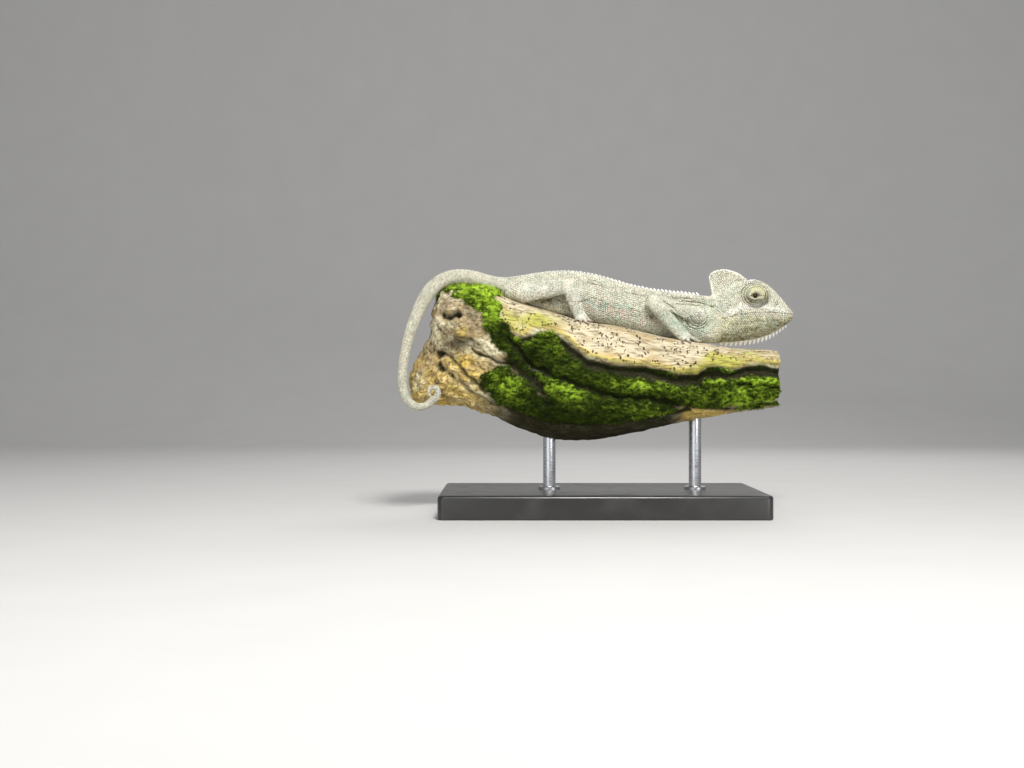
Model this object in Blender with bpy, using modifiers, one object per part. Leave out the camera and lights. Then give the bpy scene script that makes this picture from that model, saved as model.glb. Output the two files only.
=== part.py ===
"""A half-grown female veiled chameleon at life size, resting along a cut length of
driftwood that a plain base and two steel rods hold up.

+X is the way the animal faces, +Z is up, and -Y is its right side. The origin is the
middle of the underside of the stand's base. Lengths here are millimetres; MM turns
them into Blender's metres when a mesh is made.
"""

import math

import bmesh
import bpy
import numpy as np
from mathutils import Matrix, Vector

MM = 0.001
GAP = 0.3  # clearance left between neighbouring solids

# Trunk: stations along X with the height of back and belly and the half width there.
TRUNK_X = [-46.0, -35.6, -23.7, -11.9, 0.0, 14.2, 28.4, 40.3, 49.8, 57.8]
BACK_Z = [110.9, 112.5, 114.1, 114.1, 111.9, 107.8, 104.9, 103.7, 102.5, 101.8]
BELLY_Z = [101.9, 98.0, 94.4, 91.2, 89.3, 86.3, 82.7, 80.9, 80.2, 80.6]
HALF_WIDTH = [4.9, 6.2, 7.2, 8.4, 9.0, 9.1, 8.7, 8.2, 7.2, 7.2]
TRUNK_CUTS = [-44.2, -22.0, 18.0, 43.6, 52.2]
TRUNK_NODES = ["pelvis", "abdomen", "thorax", "neck"]
TRUNK_SIDES = 16

# Head: lines that run from the nape to the snout, from the roof down to the keel of
# the throat. Each has a height and a distance from the middle plane at every station.
HEAD_X = [52.5, 57.8, 65.4, 73.0, 80.0, 85.0, 89.0, 91.4]
HEAD_LINES = [
    ([102.6, 105.3, 108.7, 109.5, 106.8, 102.2, 97.4, 94.8], [0] * 8),
    ([101.6, 104.2, 107.8, 109.6, 106.6, 101.8, 97.0, 94.6],
     [1.8, 2.2, 2.9, 3.3, 2.7, 2.0, 1.3, 0.5]),
    ([99.0, 101.6, 104.3, 105.0, 102.8, 99.3, 95.9, 94.2],
     [4.6, 4.7, 5.0, 4.9, 4.0, 3.1, 2.1, 0.8]),
    ([95.2, 97.4, 97.7, 97.3, 97.2, 96.3, 94.6, 93.7],
     [6.6, 6.7, 7.0, 6.2, 5.4, 4.3, 2.8, 1.0]),
    ([92.8, 94.5, 95.8, 96.2, 96.0, 95.1, 93.8, 93.2],
     [7.3, 7.9, 8.4, 8.1, 6.6, 4.9, 3.2, 1.1]),
    ([90.4, 91.4, 91.9, 92.1, 92.2, 92.3, 92.5, 92.7],
     [7.5, 8.2, 8.7, 8.2, 6.7, 5.1, 3.3, 1.1]),
    ([87.0, 87.8, 88.0, 88.0, 88.6, 89.4, 90.8, 91.9],
     [7.2, 7.6, 7.9, 7.4, 6.0, 4.4, 2.7, 0.8]),
    ([83.0, 83.2, 83.6, 84.2, 85.8, 87.6, 89.4, 91.3],
     [4.9, 4.9, 4.9, 4.3, 3.4, 2.4, 1.4, 0.4]),
    ([80.3, 80.2, 80.9, 82.0, 84.0, 86.4, 88.6, 90.9], [0] * 8),
]
MOUTH_LINE = [(96.0, 93.0), (85.0, 92.3), (66.4, 91.9), (61.0, 90.2), (55.6, 78.0)]
CASQUE_LINE = [(44.0, 103.2), (58.0, 105.0), (67.0, 107.4), (72.6, 110.4), (76.0, 118.0)]

# Casque: its rim from the nape round to the brow, and the line its sides widen towards.
RIM_X = [53.3, 52.6, 52.1, 51.7, 51.9, 53.0, 55.0, 57.8, 60.7, 64.0, 66.4, 68.7, 71.1]
RIM_Z = [101.6, 105.6, 108.8, 110.9, 112.3, 113.4, 114.4, 114.9, 114.7, 113.7, 112.5,
         110.9, 109.1]
RIM_DEPTH = [0.0, 0.45, 1.3, 4.0, 8.0, 11.5]
RIM_HALF = [0.3, 0.75, 0.6, 1.35, 2.7, 3.9]

# Eyes: a turned turret round a ball that shows through the opening in the lids.
EYE_X = 72.7
EYE_Z = 102.5
TURRET_PROFILE = [(2.2, 9.75), (3.6, 8.9), (4.5, 7.8), (5.1, 6.6), (5.7, 5.4),
                  (5.8, 4.2), (4.6, 1.8), (0.0, 1.8)]
TURRET_LONG = 1.05
TURRET_TALL = 0.94
LID_OPENING = (1.5, 1.15)
EYEBALL_OUT = 6.2
EYEBALL_RADIUS = 2.85

# Tail: the way it heads at shares of its length, in degrees from +X towards +Z.
TAIL_START = (-44.5, 106.6)
TAIL_LENGTH = 121.1
TURN_AT = [0.0, 13.3, 22.9, 32.4, 42.0, 57.2, 76.3, 86.8, 95.4, 103.0, 109.7, 116.3, 121.1]
TURN_TO = [172.7, 162.8, 181.4, 212.8, 238.4, 250.9, 264.7, 279.1, 321.5, 388.7, 421.8,
           574.6, 707.5]
THICK_AT = [0.0, 7.2, 19.6, 33.5, 48.9, 68.8, 85.5, 95.4, 102.8, 110.2, 114.4, 118.3, 121.1]
THICK = [4.4, 3.9, 3.6, 3.5, 3.0, 2.4, 2.15, 1.95, 1.75, 1.6, 1.3, 0.85, 0.55]
SWAY_AT = [0.0, 15.0, 30.0, 45.0, 60.0, 80.0, 95.0, 108.0, 121.1]
SWAY = [0.0, -0.4, -1.4, -3.6, -5.8, -7.6, -8.4, -8.9, -9.0]
TAIL_CUTS = [0.6, 17.0, 42.0, 76.0, 98.0, 121.1]
TAIL_NODES = ["tail_base", "tail_arch", "tail_hang", "tail_bend", "tail_curl"]
TAIL_SIDES = 10

# Legs, right side: joint centres (x, y, z), then the radii along each length and how
# wide each section is for its height. The left legs mirror them, moved by LEFT_SHIFT.
SHOULDER = (45.5, -5.2, 92.3)
ELBOW = (23.4, -12.2, 99.0)
WRIST = (37.6, -13.3, 83.5)
HIP = (-34.0, -4.7, 103.8)
KNEE = (-15.3, -11.6, 106.3)
ANKLE = (-10.6, -13.2, 93.8)
LEG_SHAPES = {
    "foreleg_upper": ([3.8, 4.3, 4.0, 3.6, 3.2], [0.9, 0.9, 0.9, 0.9, 0.95]),
    "foreleg_lower": ([3.0, 3.35, 3.4, 3.1, 2.9], [0.95, 0.95, 0.9, 0.9, 0.95]),
    "hindleg_upper": ([6.0, 5.4, 4.4, 3.7, 3.4], [0.56, 0.62, 0.76, 0.9, 0.95]),
    "hindleg_lower": ([3.1, 3.4, 3.3, 3.1, 2.9], [0.92, 0.9, 0.9, 0.9, 0.95]),
}
LEFT_SHIFT = {"elbow": (1.4, 0.3, -0.8), "wrist": (2.2, 0.0, -0.5),
              "knee": (-1.6, 0.2, -0.9), "ankle": (1.4, 0.2, -0.4)}
LEG_SIDES = 9
# Toes: tips from the palm's centre (forward, outward); three inner and two outer in
# front, two inner and three outer behind.
FORE_TOES = [(6.6, -1.2), (6.2, -3.6), (4.4, -5.0), (1.6, 3.0), (-1.4, 3.4)]
HIND_TOES = [(4.2, -1.0), (3.4, -3.8), (-2.6, 3.1), (-0.4, 3.7), (2.4, 3.4)]
TOE_RADIUS = 1.1
PALM = (3.2, 2.7, 2.1)

# Driftwood: stations along X with its top, underside, half depth and middle line.
LOG_X = [-90.3, -88.5, -85.6, -82.4, -79.4, -77.8, -75.6, -71.5, -64.0, -52.0, -42.7,
         -28.4, -9.5, 9.5, 28.4, 47.4, 65.0, 82.0]
LOG_TOP = [60.5, 66.5, 73.2, 80.5, 87.5, 97.5, 104.0, 106.4, 106.9, 105.6, 100.7,
           96.2, 90.6, 87.6, 83.0, 79.9, 77.2, 76.2]
LOG_BASE = [55.5, 53.0, 51.6, 51.2, 50.9, 50.8, 50.7, 50.3, 49.5, 46.5, 41.7,
            36.5, 34.4, 36.6, 40.8, 44.6, 47.6, 49.6]
LOG_HALF = [4.5, 8.0, 10.5, 11.8, 12.6, 13.0, 13.6, 14.3, 15.0, 16.6, 18.0,
            20.2, 21.6, 21.8, 21.4, 20.2, 18.8, 17.4]
LOG_MIDDLE = [7.0, 7.0, 6.8, 6.5, 6.2, 6.0, 5.8, 5.4, 4.7, 3.2, 2.0,
              0.6, -0.4, -0.8, -0.7, -0.4, 0.0, 0.0]
LOG_SIDES = 18
LOG_FLAT = 5.0  # superellipse exponent of the worn, flat top
LOG_ROUND = 2.3  # and of the rounder underside

# Stand
BASE_SIZE = (150.0, 84.0, 11.0)
ROD_RADIUS = 3.0
ROD_X = {"stand_rod_rear": -24.0, "stand_rod_front": 45.0}
ROD_IN_BASE = 5.0
ROD_IN_LOG = 8.0

# Spines: the beard under the jaw and the comb along the back.
BEARD_FROM, BEARD_TO, BEARD_COUNT = 57.6, 87.8, 17
COMB_FROM, COMB_TO, COMB_STEP = 46.6, -24.0, 1.6


def through(t, knots, values):
    """Smooth curve through the values: a cubic between each two knots, whose slope at
    a knot is the mean slope of its neighbours."""
    t = np.asarray(t, float)
    knots = np.asarray(knots, float)
    values = np.asarray(values, float)
    slope = np.gradient(values, knots, axis=0)
    i = np.clip(np.searchsorted(knots, t, side="right") - 1, 0, len(knots) - 2)
    span = knots[i + 1] - knots[i]
    u = (t - knots[i]) / span
    blend = 3 * u**2 - 2 * u**3
    rise = (u**3 - 2 * u**2 + u) * span * slope[i]
    fall = (u**3 - u**2) * span * slope[i + 1]
    return (1 - blend) * values[i] + rise + blend * values[i + 1] + fall


# ---------------------------------------------------------------- Blender helpers

for old in list(bpy.data.objects):
    bpy.data.objects.remove(old, do_unlink=True)

parts = bpy.data.collections.new("veiled_chameleon")
cutters = bpy.data.collections.new("cutters")
bpy.context.scene.collection.children.link(parts)
bpy.context.scene.collection.children.link(cutters)
cutters.hide_render = True
body_root = bpy.data.objects.new("chameleon_on_stand", None)
parts.objects.link(body_root)


def material(name, colour, roughness, metallic=0.0):
    made = bpy.data.materials.new(name)
    made.use_nodes = True
    shader = made.node_tree.nodes["Principled BSDF"]
    shader.inputs["Base Color"].default_value = (*colour, 1.0)
    shader.inputs["Roughness"].default_value = roughness
    shader.inputs["Metallic"].default_value = metallic
    return made


SKIN_PALE = (0.66, 0.63, 0.48)
WOOD = material("driftwood", (0.45, 0.38, 0.22), 0.85)
STAND_WOOD = material("stand_lacquer", (0.03, 0.028, 0.026), 0.4)
STEEL = material("stand_steel", (0.55, 0.56, 0.57), 0.3, 1.0)
EYE = material("eye", (0.03, 0.02, 0.01), 0.1)


def put(obj, node=True, colour=None):
    """Link an object as a node of the animal, or as a cutter that isn't rendered."""
    if node:
        parts.objects.link(obj)
        obj.parent = body_root
        skin = colour or material(obj.name, SKIN_PALE, 0.7)
        obj.data.materials.append(skin)
        return obj
    cutters.objects.link(obj)
    obj.hide_render = True
    obj.display_type = "WIRE"
    return obj


def mesh_from(name, build):
    """An object whose mesh is what build(bm) makes, with its faces pointing out."""
    bm = bmesh.new()
    build(bm)
    if bm.calc_volume(signed=True) < 0:
        bmesh.ops.reverse_faces(bm, faces=bm.faces)
    mesh = bpy.data.meshes.new(name)
    bm.to_mesh(mesh)
    bm.free()
    mesh.shade_smooth()
    mesh.set_sharp_from_angle(angle=math.radians(50))
    return bpy.data.objects.new(name, mesh)


def loft(name, rings, **how):
    """A closed skin over a stack of rings of equal count, with a flat cap at each end."""
    rings = np.asarray(rings, float) * MM

    def build(bm):
        rows = [[bm.verts.new(point) for point in ring] for ring in rings]
        count = len(rows[0])
        for low, high in zip(rows, rows[1:]):
            for k in range(count):
                after = (k + 1) % count
                bm.faces.new((low[k], low[after], high[after], high[k]))
        bm.faces.new(rows[0][::-1])
        bm.faces.new(rows[-1])

    return put(mesh_from(name, build), **how)


def prism(name, outline, half_width):
    """A cutter: an outline in the XZ plane, drawn out to both sides of the middle."""
    count = len(outline)
    near = [(x, -half_width, z) for x, z in outline]
    far = [(x, half_width, z) for x, z in outline]
    assert count > 2
    return loft(name, [near, far], node=False)


def boolean(obj, operand, operation="DIFFERENCE"):
    cut = obj.modifiers.new(operand.name[:40], "BOOLEAN")
    cut.operation = operation
    cut.object = operand
    return obj


def cylinder(name, radius, bottom, top, x=0.0, y=0.0, sides=14, **how):
    def build(bm):
        middle = Matrix.Translation((x * MM, y * MM, (bottom + top) / 2 * MM))
        bmesh.ops.create_cone(bm, cap_ends=True, segments=sides, radius1=radius * MM,
                              radius2=radius * MM, depth=(top - bottom) * MM,
                              matrix=middle)

    return put(mesh_from(name, build), **how)


def half_space(name, point, direction):
    """A block cutter whose near face passes through the point, square to direction."""
    way = Vector(direction).normalized()
    side = 40.0
    turn = way.to_track_quat("Z", "Y").to_matrix().to_4x4()
    middle = Vector(point) + way * side / 2
    place = Matrix.Translation(middle * MM) @ turn

    def build(bm):
        bmesh.ops.create_cube(bm, size=side * MM, matrix=place)

    return put(mesh_from(name, build), node=False)


def cones(name, places):
    """Many small spines in one operand: (root, direction, length, radius, sides)."""
    def build(bm):
        for root, direction, length, radius, sides in places:
            way = Vector(direction).normalized()
            turn = way.to_track_quat("Z", "Y").to_matrix().to_4x4()
            middle = Vector(root) + way * length / 2
            place = Matrix.Translation(middle * MM) @ turn
            bmesh.ops.create_cone(bm, cap_ends=True, segments=sides, depth=length * MM,
                                  radius1=radius * MM, radius2=0.0, matrix=place)

    return put(mesh_from(name, build), node=False)


# ---------------------------------------------------------------- driftwood

def log_ring(x, grow=0.0, sides=LOG_SIDES):
    """One upright section of the wood at x. Its upper half is a flat superellipse with
    shallow flutes down the flank, its lower half is rounder."""
    top, low = through(x, LOG_X, LOG_TOP) + grow, through(x, LOG_X, LOG_BASE) - grow
    half, middle = through(x, LOG_X, LOG_HALF) + grow, through(x, LOG_X, LOG_MIDDLE)
    angle = np.arange(sides) / sides * 2 * math.pi + math.pi / 2
    c, s = np.cos(angle), np.sin(angle)
    power = np.where(s > 0, 2 / LOG_FLAT, 2 / LOG_ROUND)
    waist = (top + low) / 2
    fade = np.clip((40 - np.abs(np.degrees(angle - math.pi))) / 40, 0, 1)
    flute = 1 - 0.05 * fade * (1 + math.sin(x / 17.0))
    y = middle + half * flute * np.sign(c) * np.abs(c) ** power
    z = waist + (top - low) / 2 * np.sign(s) * np.abs(s) ** power
    return np.stack([np.full(sides, x), y, z], axis=1)


def log_top(x, y):
    """Height of the wood's top at (x, y)."""
    top, low = through(x, LOG_X, LOG_TOP), through(x, LOG_X, LOG_BASE)
    out = abs(y - through(x, LOG_X, LOG_MIDDLE)) / through(x, LOG_X, LOG_HALF)
    arch = (1 - min(out, 0.98) ** LOG_FLAT) ** (1 / LOG_FLAT)
    return (top + low) / 2 + (top - low) / 2 * arch


LOG_STATIONS = LOG_X[:11] + [-35.0, -27.0, -17.0, -7.0, 5.0, 17.0, 28.4, 38.0, 47.4,
                             59.0, 70.0, 82.0]
perch = loft("perch", [log_ring(x) for x in LOG_STATIONS], colour=WOOD)
log_room = loft("log_room", [log_ring(x, GAP) for x in LOG_STATIONS], node=False)

# ---------------------------------------------------------------- stand

def base_block(bm):
    """The base: a plain block whose underside lies on the floor."""
    size = Matrix.Diagonal((*BASE_SIZE, 1.0))
    rise = Matrix.Translation((0, 0, BASE_SIZE[2] / 2))
    place = Matrix.Diagonal((MM, MM, MM, 1.0)) @ rise @ size
    bmesh.ops.create_cube(bm, size=1.0, matrix=place)


base = mesh_from("stand_base", base_block)
put(base, colour=STAND_WOOD)
edge = base.modifiers.new("edge", "BEVEL")
edge.width = 1.6 * MM
edge.segments = 1
edge.limit_method = "ANGLE"
for rod, x in ROD_X.items():
    under = float(through(x, LOG_X, LOG_BASE))
    top = under + ROD_IN_LOG
    bottom = BASE_SIZE[2] - ROD_IN_BASE
    cylinder(rod, ROD_RADIUS, bottom, top, x, colour=STEEL)
    room = cylinder(rod + "_room", ROD_RADIUS + GAP, bottom - GAP, top + GAP, x,
                    node=False)
    boolean(base, room)
    boolean(perch, room)

# ---------------------------------------------------------------- legs

def tube_rings(path, radii, sides, wide=1.0):
    """Rings of the given radii, square to a path. wide is each ring's breadth for its
    height."""
    path = np.asarray(path, float)
    way = np.gradient(path, axis=0)
    way /= np.linalg.norm(way, axis=1, keepdims=True)
    side = np.cross(way, (0.1, 0.35, 1.0))
    side /= np.linalg.norm(side, axis=1, keepdims=True)
    up = np.cross(side, way)
    turn = np.arange(sides) / sides * 2 * math.pi
    r = np.asarray(radii, float)[:, None, None]
    wide = np.broadcast_to(wide, len(path))[:, None, None]
    round_part = wide * np.cos(turn)[None, :, None] * side[:, None]
    round_part = round_part + np.sin(turn)[None, :, None] * up[:, None]
    return path[:, None] + r * round_part


def bone(name, start, end, shape, grow=0.0, **how):
    """A tapering length of leg with round ends, from joint centre to joint centre."""
    radii, wide = shape
    start, end = np.array(start, float), np.array(end, float)
    reach = np.linalg.norm(end - start)
    first, last = radii[0] + grow, radii[-1] + grow
    stops = [-0.92 * first / reach, -0.6 * first / reach]
    stops += list(np.linspace(0, 1, len(radii)))
    stops += [1 + 0.6 * last / reach, 1 + 0.92 * last / reach]
    stops = np.array(stops)
    sizes = [0.36 * first, 0.78 * first] + [r + grow for r in radii]
    sizes += [0.78 * last, 0.36 * last]
    wide = [wide[0]] * 2 + wide + [wide[-1]] * 2
    path = start + (end - start) * stops[:, None]
    return loft(name, tube_rings(path, sizes, LEG_SIDES, wide), **how)


def toe(name, palm, tip, radius):
    """One toe with its claw: it arches from the palm, lies on the wood and ends in a
    hooked point."""
    palm, tip = np.array(palm, float), np.array(tip, float)
    along = tip - palm
    along /= np.linalg.norm(along)
    claw = tip + along * 0.6 + (0, 0, -0.1)
    point = tip + along * 1.7 + (0, 0, -0.9)
    knuckle = (palm + tip) / 2 + (0, 0, 0.35)
    path = [palm, knuckle, tip - along * 0.3, claw, point]
    sizes = [radius, radius * 1.1, radius, radius * 0.45, 0.1]
    return loft(name, tube_rings(path, sizes, 5), node=False)


def foot(name, wrist, toes, mirror):
    """A pincer foot: a rounded palm, an inner and an outer bundle of toes."""
    wx, wy, wz = wrist
    palm = np.array([wx + 1.0, wy, 0.0])
    palm[2] = log_top(palm[0], palm[1]) + 0.85 * PALM[2]

    def build(bm):
        bmesh.ops.create_uvsphere(bm, u_segments=8, v_segments=5, radius=MM)
        bmesh.ops.transform(bm, verts=bm.verts, matrix=Matrix.Translation(palm * MM)
                            @ Matrix.Diagonal((*PALM, 1.0)))

    made = put(mesh_from(name, build))
    for k, (forward, outward) in enumerate(toes):
        tip = palm + (forward, outward * mirror, 0.0)
        tip[2] = log_top(tip[0], tip[1]) + TOE_RADIUS * 0.75
        start = palm + (0.12 * forward, 0.12 * outward * mirror, 0.0)
        boolean(made, toe(f"{name}_toe_{k}", start, tip, TOE_RADIUS), "UNION")
    return made


def part_at_wrist(shank, paw, stub, bend, wrist):
    """Part the lower leg from the foot with a thin plane cut just above the wrist. The
    foot keeps the end of the leg below that cut."""
    way = (Vector(wrist) - Vector(bend)).normalized()
    cut = Vector(wrist) - way * 0.6
    boolean(shank, half_space(shank.name + "_end", cut - way * GAP / 2, way))
    boolean(paw, stub, "UNION")
    boolean(paw, half_space(paw.name + "_end", cut + way * GAP / 2, -way))


trunk_rooms = {"neck": [], "thorax": [], "abdomen": [], "pelvis": []}
for side, mirror in (("right", -1.0), ("left", 1.0)):
    def joint(place, shift):
        """A joint centre on this side: the left one is mirrored and moved a little."""
        x, y, z = place
        if mirror < 0:
            return (x, y, z)
        dx, dy, dz = LEFT_SHIFT.get(shift, (0, 0, 0))
        return (x + dx, -y + dy, z + dz)

    for end, near, bend, tip, toes, knobs, hosts in (
        ("fore", SHOULDER, ELBOW, WRIST, FORE_TOES, ("elbow", "wrist"),
         ("neck", "thorax")),
        ("hind", HIP, KNEE, ANKLE, HIND_TOES, ("knee", "ankle"),
         ("abdomen", "pelvis")),
    ):
        top, mid, low = joint(near, ""), joint(bend, knobs[0]), joint(tip, knobs[1])
        upper, lower = f"{end}leg_upper_{side}", f"{end}leg_lower_{side}"
        shape_up, shape_low = LEG_SHAPES[f"{end}leg_upper"], LEG_SHAPES[f"{end}leg_lower"]
        thigh = bone(upper, top, mid, shape_up)
        shank = bone(lower, mid, low, shape_low)
        thigh_room = bone(upper + "_room", top, mid, shape_up, GAP, node=False)
        shank_room = bone(lower + "_room", mid, low, shape_low, GAP, node=False)
        paw = foot(f"{end}foot_{side}", low, toes, mirror)
        stub = bone(lower + "_stub", mid, low, shape_low, node=False)
        part_at_wrist(shank, paw, stub, mid, low)
        boolean(shank, thigh_room)
        boolean(shank, log_room)
        boolean(paw, log_room)
        for host in hosts:
            trunk_rooms[host] += [thigh_room, shank_room]

# ---------------------------------------------------------------- trunk

def trunk_ring(x):
    """A section of the trunk at x: a sharp ridge above, round flanks, and a boxy belly
    that spreads on the wood."""
    top, low = through(x, TRUNK_X, BACK_Z), through(x, TRUNK_X, BELLY_Z)
    half = through(x, TRUNK_X, HALF_WIDTH)
    middle = low + 0.44 * (top - low)
    angle = np.arange(TRUNK_SIDES) / TRUNK_SIDES * 2 * math.pi + math.pi / 2
    c, s = np.cos(angle), np.sin(angle)
    y = half * np.sign(c) * np.abs(c) ** np.where(s > 0, 1.25, 0.85)
    z = middle + np.where(s > 0, (top - middle) * s, (middle - low) * s)
    return np.stack([np.full(TRUNK_SIDES, x), y, z], axis=1)


def comb(name, first, last):
    """The comb's spines between two stations: they lean back and shrink to the hips."""
    places = []
    for x in np.arange(COMB_FROM, COMB_TO, -COMB_STEP):
        if first + 0.7 < x < last - 0.7:
            share = (x - COMB_TO) / (COMB_FROM - COMB_TO)
            size = 0.45 + 0.75 * share**0.7
            root = (x, 0.0, float(through(x, TRUNK_X, BACK_Z)) - 0.45)
            places.append((root, (-0.45, 0, 1), size + 0.45, 0.45 + 0.22 * share, 3))
    return cones(name, places)


for name, first, last in zip(TRUNK_NODES, TRUNK_CUTS, TRUNK_CUTS[1:]):
    first += GAP / 2
    last -= GAP / 2
    count = max(3, round((last - first) / 6.6) + 1)
    piece = loft(name, [trunk_ring(x) for x in np.linspace(first, last, count)])
    if last > COMB_TO:
        boolean(piece, comb(name + "_comb", first, last), "UNION")
    for room in trunk_rooms[name]:
        boolean(piece, room)
    boolean(piece, log_room)

# ---------------------------------------------------------------- tail

ARC = np.linspace(0, TAIL_LENGTH, 1201)
HEADING = np.radians(through(ARC, TURN_AT, TURN_TO))
STEP = ARC[1]
TAIL_PATH_X = TAIL_START[0] + np.concatenate([[0], np.cumsum(np.cos(HEADING[:-1]) * STEP)])
TAIL_PATH_Z = TAIL_START[1] + np.concatenate([[0], np.cumsum(np.sin(HEADING[:-1]) * STEP)])


def tail_ring(s):
    """A section of the tail at arc length s, square to the way it heads there. Close to
    the trunk the section turns upright to meet the hips."""
    x, z = np.interp(s, ARC, TAIL_PATH_X), np.interp(s, ARC, TAIL_PATH_Z)
    heading = np.interp(s, ARC, HEADING)
    square = min(s / 8.0, 1.0)
    heading = math.pi + (heading - math.pi) * square
    thick = float(through(s, THICK_AT, THICK))
    wide = thick * np.interp(s, [0, 12, 90], [1.07, 0.95, 0.92])
    turn = np.arange(TAIL_SIDES) / TAIL_SIDES * 2 * math.pi
    out = np.sin(turn) * thick
    return np.stack([x + math.sin(heading) * out,
                     float(through(s, SWAY_AT, SWAY)) + np.cos(turn) * wide,
                     z - math.cos(heading) * out], axis=1)


for name, first, last in zip(TAIL_NODES, TAIL_CUTS, TAIL_CUTS[1:]):
    step = np.interp(first, [0, 60, 98], [3.8, 3.8, 1.7])
    count = max(4, round((last - first) / step) + 1)
    piece = loft(name, [tail_ring(s) for s in np.linspace(first, last - GAP, count)])
    boolean(piece, log_room)

# ---------------------------------------------------------------- head

def head_ring(x):
    """A section of the skull at x: the named lines down the right side and back up the
    left."""
    heights = [float(through(x, HEAD_X, z)) for z, _ in HEAD_LINES]
    outs = [float(through(x, HEAD_X, y)) for _, y in HEAD_LINES]
    right = [(x, -y, z) for y, z in zip(outs, heights)]
    left = [(x, y, z) for y, z in zip(outs[-2:0:-1], heights[-2:0:-1])]
    return right + left


skull_rings = [head_ring(x) for x in
               [52.5, 57.0, 61.0, 65.0, 69.0, 73.0, 76.5, 80.0, 83.0, 86.0, 88.6, 90.4,
                91.4]]


def casque_rings():
    """Rings round the casque's blade: each runs from deep in the skull out to the rim
    on one side and back on the other, and the sides part like an A."""
    rings = []
    count = len(RIM_X)
    for i in range(count):
        share = i / (count - 1)
        rim = np.array([RIM_X[i], RIM_Z[i]])
        root = np.array([57.5 + 11.0 * share, 98.5 + 4.0 * share])
        inward = root - rim
        reach = np.linalg.norm(inward)
        inward /= reach
        depths = [min(d, reach) for d in RIM_DEPTH] + [reach]
        halves = RIM_HALF + [4.2]
        halves = [h * (1 - 0.35 * share) for h in halves]
        left = [(*(rim + inward * d), h) for d, h in zip(depths, halves) if d < reach]
        left.append((*root, halves[-1]))
        while len(left) < len(RIM_DEPTH) + 1:
            left.insert(-1, left[-2])
        one = [(x, h, z) for x, z, h in left]
        other = [(x, -h, z) for x, z, h in left[::-1]]
        rings.append(one + other)
    return rings


blade = loft("casque_blade", casque_rings(), node=False)
over_mouth = [(x, z + GAP) for x, z in MOUTH_LINE]
under_casque = [(x, z - GAP) for x, z in CASQUE_LINE]
jaw_box = prism("jaw_box", MOUTH_LINE + [(54.0, 70.0), (97.0, 70.0)], 20)
jaw_room = prism("jaw_room", over_mouth + [(55.3, 70.0), (97.0, 70.0)], 20)
casque_box = prism("casque_box", CASQUE_LINE + [(44.0, 118.0)], 20)
casque_room = prism("casque_room", under_casque + [(44.0, 119.0)], 20)

head = loft("head", skull_rings)
boolean(head, blade, "UNION")
boolean(head, jaw_room)
boolean(head, casque_room)
jaw = loft("lower_jaw", skull_rings)
boolean(jaw, jaw_box, "INTERSECT")
casque = loft("casque", skull_rings)
boolean(casque, blade, "UNION")
boolean(casque, casque_box, "INTERSECT")

beard = []
keel_line = HEAD_LINES[-1][0]
for k in range(BEARD_COUNT):
    share = k / (BEARD_COUNT - 1)
    x = BEARD_FROM + (BEARD_TO - BEARD_FROM) * (1.32 * share - 0.32 * share**2)
    spacing = (BEARD_TO - BEARD_FROM) * (1.32 - 0.64 * share) / (BEARD_COUNT - 1)
    keel = float(through(x, HEAD_X, keel_line))
    slope = float(through(x + 0.5, HEAD_X, keel_line)) - keel
    size = 1.45 + 1.05 * math.sin(math.pi * (0.12 + 0.8 * (1 - share)))
    lean = (1.2 * slope - 0.12, 0, -1)
    beard.append(((x, 0, keel + 0.6), lean, size + 0.6, 0.44 * spacing, 4))
boolean(jaw, cones("beard", beard), "UNION")
boolean(jaw, log_room)
boolean(head, log_room)

# ---------------------------------------------------------------- eyes

def turned(name, profile, steps, **how):
    """A profile of (radius, height) pairs, top to bottom, turned about Z."""
    def build(bm):
        points = [bm.verts.new((r * MM, 0, h * MM)) for r, h in profile]
        for a, b in zip(points, points[1:]):
            bm.edges.new((a, b))

    mesh = bpy.data.meshes.new(name)
    bm = bmesh.new()
    build(bm)
    bm.to_mesh(mesh)
    bm.free()
    obj = put(bpy.data.objects.new(name, mesh), **how)
    screw = obj.modifiers.new("turn", "SCREW")
    screw.steps = steps
    screw.render_steps = steps
    screw.use_merge_vertices = True
    screw.merge_threshold = 0.00002
    screw.use_smooth_shade = True
    return obj


def grown(profile, by):
    """The profile moved out by a clearance, square to itself."""
    points = np.array(profile, float)
    way = np.gradient(points, axis=0)
    way /= np.linalg.norm(way, axis=1, keepdims=True)
    out = points + by * np.stack([-way[:, 1], way[:, 0]], axis=1)
    out[:, 0] = np.maximum(out[:, 0], 0.0)
    out[-1] = (0.0, points[-1, 1] - by)
    out[-2, 1] = points[-2, 1] - by
    return [tuple(p) for p in out]


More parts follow.
